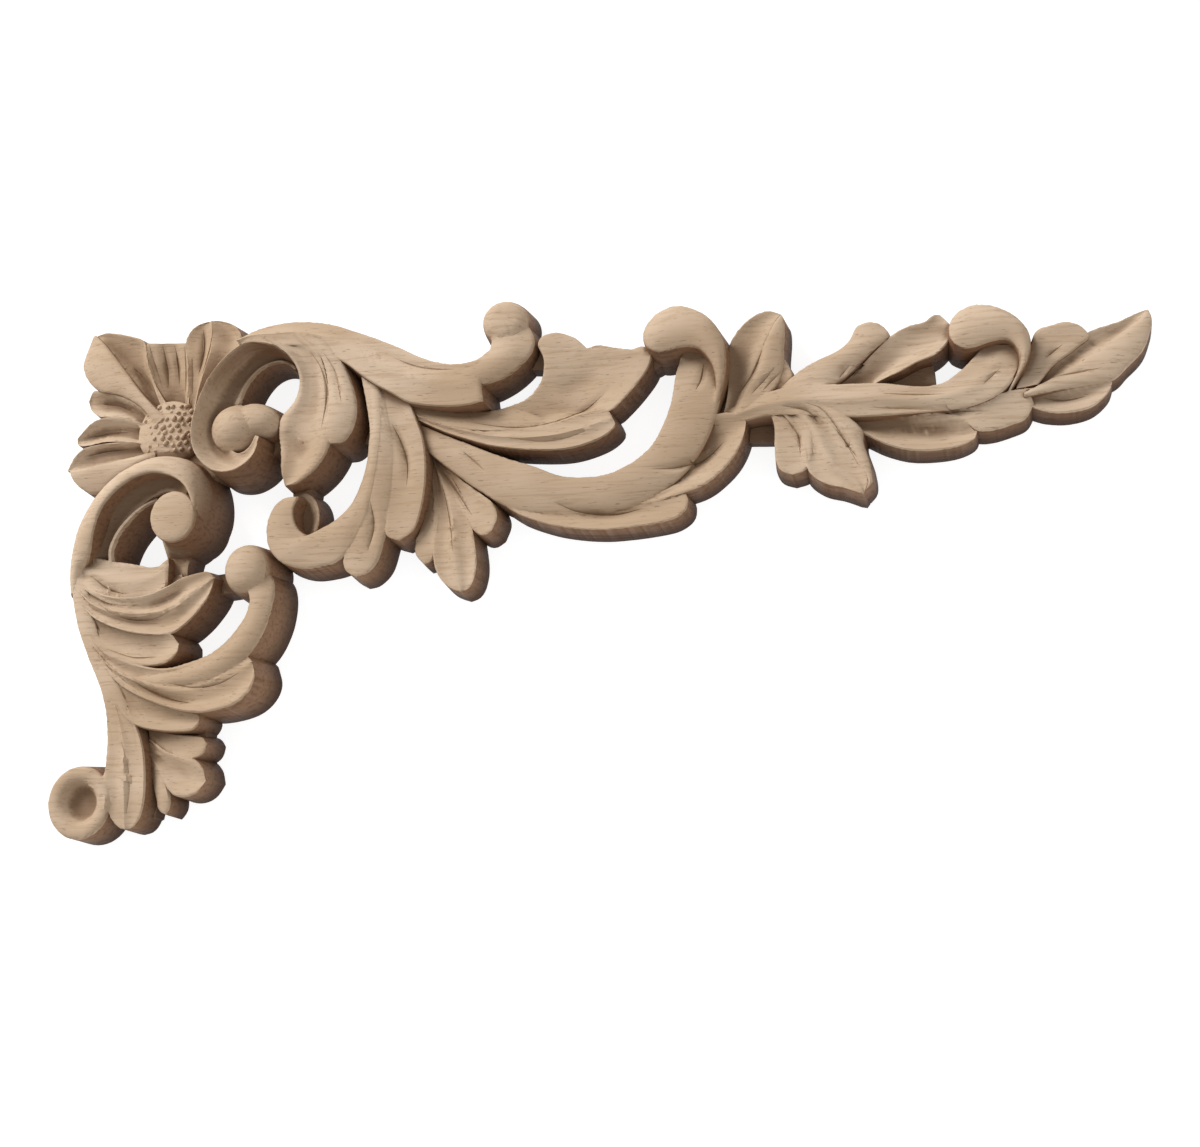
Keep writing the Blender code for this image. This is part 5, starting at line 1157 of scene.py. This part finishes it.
@dataclass(frozen=True)
class BareWood:
    """Bare pale hardwood: fine grain along X and short dark pores, with painted shade: brown in the hollows,
    dark on the walls, and a nearly black painted shadow at the foot of the walls.
    """

    pale: tuple[float, float, float, float] = (0.575, 0.44, 0.32, 1.0)
    warm: tuple[float, float, float, float] = (0.46, 0.33, 0.22, 1.0)
    grain: tuple[float, float, float, float] = (0.40, 0.27, 0.165, 1.0)
    # Painted shade: the colour that hollows are darkened towards, standing in for the shade that falls in
    # them.
    hollow_shade: tuple[float, float, float, float] = (0.17, 0.098, 0.052, 1.0)
    pore: tuple[float, float, float, float] = (0.12, 0.065, 0.035, 1.0)
    # Painted shade on the walls, and a painted shadow that goes nearly black towards their foot.
    wall_shade: tuple[float, float, float, float] = (0.26, 0.145, 0.08, 1.0)
    wall_foot_shadow: tuple[float, float, float, float] = (0.055, 0.028, 0.017, 1.0)
    roughness: float = 0.62
    specular: float = 0.1
    cloud_bumps: tuple[float, float, float] = (28.0, 60.0, 60.0)  # bumps in a metre along each axis
    cloud_range: tuple[float, float] = (0.35, 0.68)  # where in the noise it starts and is full
    grain_bumps: tuple[float, float, float] = (90.0, 1500.0, 900.0)
    grain_range: tuple[float, float] = (0.44, 0.74)
    grain_detail: float = 4.0
    grain_share: float = 0.55  # how much of its colour shows where it is full
    wall_grain_share: float = 0.4
    pore_bumps: tuple[float, float, float] = (420.0, 3600.0, 2400.0)
    pore_range: tuple[float, float] = (0.63, 0.74)
    pore_share: float = 0.5
    hollow_shade_range: tuple[float, float] = (-0.05, 0.75)  # in millimetres under the wood around, where the painted shade starts and where it is full
    hollow_shade_share: float = 0.8
    # how high up the wall the painted shadow at its foot fades out
    foot_shadow_height: float = 0.0085
    grain_roughens: float = 0.12
    cloud_smooths: float = 0.08
    grain_depth: float = 0.7  # share of the bump's distance
    pore_depth: float = 0.5
    bump_strength: float = 0.35
    bump_distance: float = 0.0002

    def dress(self) -> bpy.types.Material:
        """Builds the material.

        The colour goes from pale to warm in broad clouds, then towards the grain's colour along its lines,
        towards a painted shade colour in the hollows by how deep a point lies under the wood around, and
        towards the pores' in short dashes. The walls are painted shade, from a dark shade colour down to a
        nearly black painted shadow at the foot.

        Returns:
            The finished material.
        """
        bench = ShaderBench("bare_wood")
        cloud = bench.ramp(bench.stretched_noise(self.cloud_bumps), *self.cloud_range)
        line = bench.ramp(bench.stretched_noise(self.grain_bumps, self.grain_detail), *self.grain_range)
        dash = bench.ramp(bench.stretched_noise(self.pore_bumps), *self.pore_range)
        # Painted shade: the deeper a point lies under the wood around it, the more it goes towards the hollow
        # shade colour.
        sunk = bench.ramp(bench.attribute("hollow_shade_depth"), *self.hollow_shade_range)
        colour = bench.mix(cloud, self.pale, self.warm)
        colour = bench.mix(line * self.grain_share, colour, self.grain)
        colour = bench.mix(sunk * self.hollow_shade_share, colour, self.hollow_shade)
        colour = bench.mix(dash * self.pore_share, colour, self.pore)
        place = bench.node("ShaderNodeTexCoord", output="Object")
        height = bench.node("ShaderNodeSeparateXYZ", None, {"Vector": place}, output="Z")
        # Painted shade on the walls: from a nearly black painted shadow at the foot up to the dark wall shade
        # colour.
        side = bench.mix(bench.ramp(height, 0.0, self.foot_shadow_height), self.wall_foot_shadow, self.wall_shade)
        side = bench.mix(line * self.wall_grain_share, side, self.wall_foot_shadow)
        bench.feed(bench.shader.inputs["Base Color"], bench.mix(bench.attribute("wall_shade"), colour, side))
        roughness = self.roughness + self.grain_roughens * line - self.cloud_smooths * cloud
        bench.feed(bench.shader.inputs["Roughness"], roughness)
        fibre = line * self.grain_depth + dash * self.pore_depth
        bump = bench.node("ShaderNodeBump", {"invert": True}, {
            "Strength": self.bump_strength, "Distance": self.bump_distance, "Height": fibre})
        bench.feed(bench.shader.inputs["Normal"], bump)
        bench.shader.inputs["Specular IOR Level"].default_value = self.specular
        return bench.material


@dataclass(frozen=True)
class PalePaper:
    """The plain pale floor."""

    colour: tuple[float, float, float, float] = (0.4, 0.4, 0.4, 1.0)
    light: tuple[float, float, float, float] = (1.0, 1.0, 1.0, 1.0)
    roughness: float = 0.9
    specular: float = 0.1
    glow: float = 0.85  # light that comes through the paper from a light table

    def dress(self) -> bpy.types.Material:
        """Builds the material, matt and all one colour."""
        bench = ShaderBench("pale_paper")
        bench.shader.inputs["Emission Color"].default_value = self.light
        bench.shader.inputs["Emission Strength"].default_value = self.glow
        bench.shader.inputs["Base Color"].default_value = self.colour
        bench.shader.inputs["Roughness"].default_value = self.roughness
        bench.shader.inputs["Specular IOR Level"].default_value = self.specular
        return bench.material


@dataclass(frozen=True)
class SeedBed:
    """The small oval seeds in the middle of the flower: lengths in pattern steps, heights in millimetres."""

    middle: tuple[float, float] = (86.0, 85.0)
    reach: float = 22.0
    pitch: float = 5.2
    shift: float = 0.6  # how far a seed is off its place
    radius: float = 2.3
    sizes: tuple[float, float] = (0.8, 1.15)  # smallest and largest, as shares of the radius
    shrink: float = 0.25  # share that a seed at the edge of the bed is smaller by
    stretch: float = 1.35  # length over width
    height: float = 10.2
    fall: float = 1.1  # how much lower a seed stands at the edge of the bed
    uneven: tuple[float, float] = (-0.25, 0.2)
    turn: float = -50.0
    turn_spread: float = 12.0
    shoulder: tuple[float, float] = (0.6, 0.2)  # share of the radius, and how far it lies under the top
    skirt: float = 1.0  # how far the edge lies under the top
    draw: int = 7  # seed of the random draws

    def bosses(self) -> list[Boss]:
        """Lays the seeds in staggered rows, each a little off its place.

        A seed's height falls with the square of its distance from the middle of the bed.

        Returns:
            The seeds, as small bosses.
        """
        draw = np.random.default_rng(self.draw)
        middle = np.array(self.middle)
        count = int(2 * self.reach / self.pitch) + 1
        rows, columns = np.meshgrid(np.arange(count), np.arange(count), indexing="ij")
        spots = np.stack([columns + rows % 2 / 2, rows * SIXTY_SINE], axis=-1).reshape(-1, 2) * self.pitch
        spots += middle - self.reach + draw.normal(0, self.shift, spots.shape)
        away = np.linalg.norm(spots - middle, axis=1) / self.reach
        made = []
        for spot, share in zip(spots[away < 1], away[away < 1]):
            size = self.radius * draw.uniform(*self.sizes) * (1 - self.shrink * share)
            high = self.height - self.fall * share**2 + draw.uniform(*self.uneven)
            turn = self.turn + draw.normal(0, self.turn_spread)
            profile = ((0, high), (self.shoulder[0], high - self.shoulder[1]), (1, high - self.skirt))
            made.append(Boss("seed", tuple(spot), (size * self.stretch, size), turn, profile))
        return made


@dataclass
class Onlay:
    """The carved corner onlay itself."""

    carver: Carver
    wood: BareWood
    seeds: SeedBed = SeedBed()
    seed_spacing: float = 1.2  # pattern steps between the rings of a seed
    seed_sides: int = 9
    survey_spacing: float = 0.6  # pattern steps between the points that the height field is laid out from
    survey_sides: int = 360  # points round a boss there
    survey_margin: float = 0.003  # how far the height field reaches past the solid's box
    sanding: float = 2.6  # reach of the sanding, in cells of the height field
    kept_step: float = 0.0009  # steps in the wood higher than this stay crisp
    settling: float = 1.1  # reach in cells of the blur that evens the sanding out
    level_drop: float = 0.001  # seams are closed only where the wood around falls less than this
    survey_noise: tuple[float, float] = (0.00006, 0.00013)  # how exact the survey is: smaller seams are left
    mended_step: tuple[float, float] = (0.00025, 0.00045)  # higher seams are left too
    top_skin: float = 0.0005  # how near the height field a point has to be to lie on the upper side
    broad_vein: float = 1.15  # veins wider than this, in millimetres, have no fine line
    fillet_angle: float = 42.0  # degrees between faces beyond which an edge stays crisp
    wall_shade_slopes: tuple[float, float] = (0.12, 0.42)  # a face gets the painted wall shade below the first rise of its normal
    small_hollow: float = 4.5  # reach in cells of the shade in grooves
    wide_hollow: float = 13.0  # reach in cells of the shade in broad hollows
    small_share: float = 0.6  # share of the shade that the grooves have
    saw_depth: float = 4.0  # depth of the saw's block, as a multiple of the stock under the work

    def build(self) -> bpy.types.Object:
        """Carves the onlay, sets its creases and the attributes of its painted shade, and dresses it.

        Returns:
            The finished object, one closed mesh.
        """
        ground = self.lay_out()
        solids = self.leaf_solids() + self.boss_solids() + self.seed_solids()
        LOG.info("joining %d solids", len(solids))
        whole = self.cut(solids[0], solids[1:], Cut.JOIN)
        self.sand(whole.data, ground)
        skin = bmesh.new()
        skin.from_mesh(whole.data)
        wood_skin = BVHTree.FromBMesh(skin)
        skin.free()
        veins = [self.carver.vein_cutter(vein, wood_skin) for vein in VEINS if vein.width < self.broad_vein]
        LOG.info("cutting %d veins and sawing the back flat", len(veins))
        whole = self.cut(whole, veins + [self.saw(ground)], Cut.TAKE_AWAY)
        self.mark(whole.data, ground)
        whole.name = "carved_onlay"
        whole.data.materials.clear()
        whole.data.materials.append(self.wood.dress())
        bpy.context.scene.collection.objects.link(whole)
        return whole

    def sand(self, data: bpy.types.Mesh, ground: HeightField) -> None:
        """Closes the small seams between leaves, sands their low steps soft and sinks the veins' valleys.

        A point moves only up or down, and only where it lies on the upper side of the wood. A seam is closed
        by lifting its points to the survey, where its depth is more than the survey's noise and less than a
        step that is meant, and where the wood around doesn't fall steeply.

        Args:
            data: the mesh, changed in place.
            ground: the heights of the wood, which are changed with it.
        """
        places = np.empty(len(data.vertices) * 3, np.float32)
        data.vertices.foreach_get("co", places)
        places = places.reshape(-1, 3).astype(float)
        change = blur(ground.change_when_softened(self.sanding, self.kept_step), self.settling)
        under = ground.between_cells(ground.heights, places) - places[:, 2]
        top = np.abs(under) < self.top_skin
        seam = smooth_step(np.abs(under), *self.survey_noise) - smooth_step(np.abs(under), *self.mended_step)
        places[:, 2] += under * seam * (ground.between_cells(ground.drops(), places) < self.level_drop)
        places[:, 2] += top * ground.between_cells(change, places)
        cells = np.stack(np.meshgrid(*[np.arange(n) for n in ground.heights.shape], indexing="ij"), axis=-1)
        spots = cells.reshape(-1, 2) * ground.cell + np.array(ground.low)
        sunk = np.zeros(len(spots))
        for vein in VEINS:
            places[:, 2] -= top * self.carver.valley(vein, places)
            sunk += self.carver.valley(vein, spots)
        ground.heights += change - (ground.heights > 0) * sunk.reshape(ground.heights.shape)
        data.vertices.foreach_set("co", places.astype(np.float32).ravel())
        data.update()

    def lay_out(self) -> HeightField:
        """Lays every carved face over a fine height field."""
        low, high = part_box("corner_onlay")
        margin = self.survey_margin
        ground = HeightField((low.x - margin, low.y - margin), (high.x + margin, high.y + margin))
        fine = replace(self.carver, spacing=self.survey_spacing, round_sides=self.survey_sides)
        for leaf in LEAVES:
            ground.lay(fine.leaf_face(leaf, self.survey_spacing))
        for boss in BOSSES:
            ground.lay(fine.boss_face(boss))
        ground.close()
        return ground

    def leaf_solids(self) -> list[bpy.types.Object]:
        """One solid for each leaf, finely cut, and for each piece of the low ground, coarser."""
        made = []
        for leaf in LEAVES:
            spacing = self.carver.ground_spacing if leaf in GROUND else self.carver.spacing
            face = self.carver.leaf_face(leaf, spacing)
            made.append(self.carver.solid(self.carver.sheet(leaf.name, face, False)))
        return made

    def boss_solids(self) -> list[bpy.types.Object]:
        """One solid for each boss."""
        faces = [(boss.name, self.carver.boss_face(boss)) for boss in BOSSES]
        return [self.carver.solid(self.carver.sheet(name, face, True)) for name, face in faces]

    def seed_solids(self) -> list[bpy.types.Object]:
        """One coarse solid for each seed of the flower."""
        coarse = Carver(self.carver.pattern, spacing=self.seed_spacing, round_sides=self.seed_sides,
                        edge_roll=TINY, made=self.carver.made)
        faces = [coarse.boss_face(seed) for seed in self.seeds.bosses()]
        made = [coarse.solid(coarse.sheet("seed", face, True)) for face in faces]
        self.carver.made = coarse.made
        return made

    def cut(self, work: bpy.types.Object, tools: list[bpy.types.Object], way: Cut) -> bpy.types.Object:
        """Joins the tools to the work, or takes them away from it, and deletes them.

        Args:
            work: the object to be cut.
            tools: the solids to cut it with.
            way: whether they are joined or taken away.

        Returns:
            A new object with the result.
        """
        rack = bpy.data.collections.new("tools")
        bpy.context.scene.collection.children.link(rack)
        bpy.context.scene.collection.objects.link(work)
        for tool in tools:
            rack.objects.link(tool)
        step = work.modifiers.new("cut", "BOOLEAN")
        step.operation = way.value
        step.solver = "MANIFOLD"
        step.operand_type = "COLLECTION"
        step.collection = rack
        graph = bpy.context.evaluated_depsgraph_get()
        data = bpy.data.meshes.new_from_object(work.evaluated_get(graph))
        for spent in [work] + tools:
            bpy.data.objects.remove(spent)
        bpy.data.collections.remove(rack)
        LOG.info("%s: %d faces", way.value, len(data.polygons))
        return bpy.data.objects.new("onlay", data)

    def saw(self, ground: HeightField) -> bpy.types.Object:
        """The block that is sawn off under z = 0: a box wider than the work and deeper than its stock."""
        carver = self.carver
        low = np.array([*ground.low, -self.saw_depth * carver.stock_below - carver.stock_step * carver.made])
        high = np.array([*ground.high, 0.0])
        share = np.array([(0, 0, 0), (1, 0, 0), (1, 1, 0), (0, 1, 0),
                          (0, 0, 1), (1, 0, 1), (1, 1, 1), (0, 1, 1)])
        sides = np.array([(0, 2, 1), (0, 3, 2), (4, 5, 6), (4, 6, 7), (0, 1, 5), (0, 5, 4),
                          (1, 2, 6), (1, 6, 5), (2, 3, 7), (2, 7, 6), (3, 0, 4), (3, 4, 7)])
        return mesh_object("saw", low + share * (high - low), sides)

    def mark(self, data: bpy.types.Mesh, ground: HeightField) -> None:
        """Sets crisp edges, and writes the painted-shade masks: how deep each point lies in a hollow, which
        faces are walls.

        The depth in a hollow, which sets the painted shade, is a mean of a point's depth, in millimetres,
        under the wood close by and further off.

        Args:
            data: the mesh.
            ground: the heights of the wood.
        """
        data.shade_smooth()
        data.set_sharp_from_angle(angle=math.radians(self.fillet_angle))
        places = np.empty(len(data.vertices) * 3)
        data.vertices.foreach_get("co", places)
        places = places.reshape(-1, 3)
        # How deep each point lies in a hollow, which sets how much painted shade it gets.
        near = ground.hollow_shade_depth(places, self.small_hollow)
        far = ground.hollow_shade_depth(places, self.wide_hollow)
        hollow_shade_depth = (self.small_share * near + (1 - self.small_share) * far) / MILLIMETRE
        data.attributes.new("hollow_shade_depth", "FLOAT", "POINT").data.foreach_set("value", hollow_shade_depth.astype(np.float32))
        # Faces steep enough to be walls are marked for the painted wall shade.
        normals = np.empty(len(data.polygons) * 3)
        data.polygons.foreach_get("normal", normals)
        wall_shade = 1 - smooth_step(normals.reshape(-1, 3)[:, 2], *self.wall_shade_slopes)
        data.attributes.new("wall_shade", "FLOAT", "FACE").data.foreach_set("value", wall_shade.astype(np.float32))


@dataclass(frozen=True)
class Softbox:
    """A square studio light: its place, size and power, aimed at the middle of the work."""

    name: str
    place: tuple[float, float, float]
    size: float
    power: float
    colour: tuple[float, float, float] = (1.0, 1.0, 1.0)


@dataclass
class Studio:
    """The pale floor, the soft lights and the camera."""

    pattern: Pattern
    paper: PalePaper
    floor_size: float = 3.0
    middle: tuple[float, float, float] = (0.081, -0.036, 0.006)
    filled: float = 0.92  # share of the picture's width that the work takes
    nearest: float = 0.01
    aiming_rounds: int = 8
    world: float = 0.5
    lights: tuple[Softbox, ...] = (
        Softbox("key", (-0.55, 0.6, 0.62), 0.45, 11.0, (1.0, 0.99, 0.97)),
        Softbox("fill", (0.75, -0.35, 0.7), 0.8, 1.2),
    )

    def lay_floor(self) -> bpy.types.Object:
        """The plain floor, one level square."""
        half = self.floor_size / 2
        corners = np.array([(-half, -half, 0), (half, -half, 0), (half, half, 0), (-half, half, 0)], float)
        floor = mesh_object("floor", corners, np.array([(0, 1, 2), (0, 2, 3)]))
        floor.data.materials.append(self.paper.dress())
        bpy.context.scene.collection.objects.link(floor)
        return floor

    def hang_lights(self) -> None:
        """Hangs the soft lights and sets the even light of the room."""
        for box in self.lights:
            lamp = bpy.data.lights.new(box.name, "AREA")
            lamp.size, lamp.energy, lamp.color = box.size, box.power, box.colour
            hung = bpy.data.objects.new(box.name, lamp)
            hung.location = box.place
            aim = Vector(self.middle) - Vector(box.place)
            hung.rotation_euler = aim.to_track_quat("-Z", "Y").to_euler()
            bpy.context.scene.collection.objects.link(hung)
        room = bpy.data.worlds.new("room")
        room.use_nodes = True
        room.node_tree.nodes["Background"].inputs["Color"].default_value = (1, 1, 1, 1)
        room.node_tree.nodes["Background"].inputs["Strength"].default_value = self.world
        bpy.context.scene.world = room

    def set_camera(self, work: bpy.types.Object) -> None:
        """Sets the camera at the photograph's eye, turned so that the work stands in the middle, +Y up.

        Seen from the eye, each point of the work has a slope to the right and a slope up. The aim moves by
        the middle of the lowest and highest slopes until it is the middle, and the widest slope sets the
        lens.

        Args:
            work: the object that fills the picture.
        """
        places = np.empty(len(work.data.vertices) * 3)
        work.data.vertices.foreach_get("co", places)
        eye = self.pattern.viewpoint()
        rays = places.reshape(-1, 3) - np.array(eye)
        aim = Vector(rays.mean(axis=0))
        for _ in range(self.aiming_rounds):
            back = -aim.normalized()
            right = Vector((0.0, 1.0, 0.0)).cross(back).normalized()
            up = back.cross(right)
            axes = np.array([right, up, back])
            seen = rays @ axes.T
            slopes = seen[:, :2] / -seen[:, 2:]
            middle = (slopes.min(axis=0) + slopes.max(axis=0)) / 2
            aim = right * float(middle[0]) + up * float(middle[1]) - back
        lens = bpy.data.cameras.new("camera")
        lens.angle = 2 * math.atan(float(np.abs(slopes[:, 0]).max()) / self.filled)
        lens.clip_start = self.nearest
        camera = bpy.data.objects.new("camera", lens)
        camera.matrix_world = Matrix((right, up, back)).transposed().to_4x4()
        camera.location = eye
        bpy.context.scene.collection.objects.link(camera)
        bpy.context.scene.camera = camera


def main() -> None:
    """Builds the onlay and its studio, and says how large each came out."""
    logging.basicConfig(level=logging.INFO, format="%(message)s")
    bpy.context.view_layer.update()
    pattern = Pattern()
    onlay = Onlay(Carver(pattern), BareWood()).build()
    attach(onlay, "root")
    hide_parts("corner_onlay")
    size = [round(side / MILLIMETRE, 1) for side in onlay.dimensions]
    LOG.info("onlay: %d faces, %s mm", len(onlay.data.polygons), size)
    studio = Studio(pattern, PalePaper())
    studio.lay_floor()
    studio.hang_lights()
    studio.set_camera(onlay)
    bpy.context.scene.view_settings.view_transform = "Standard"


if __name__ == "__main__":
    main()
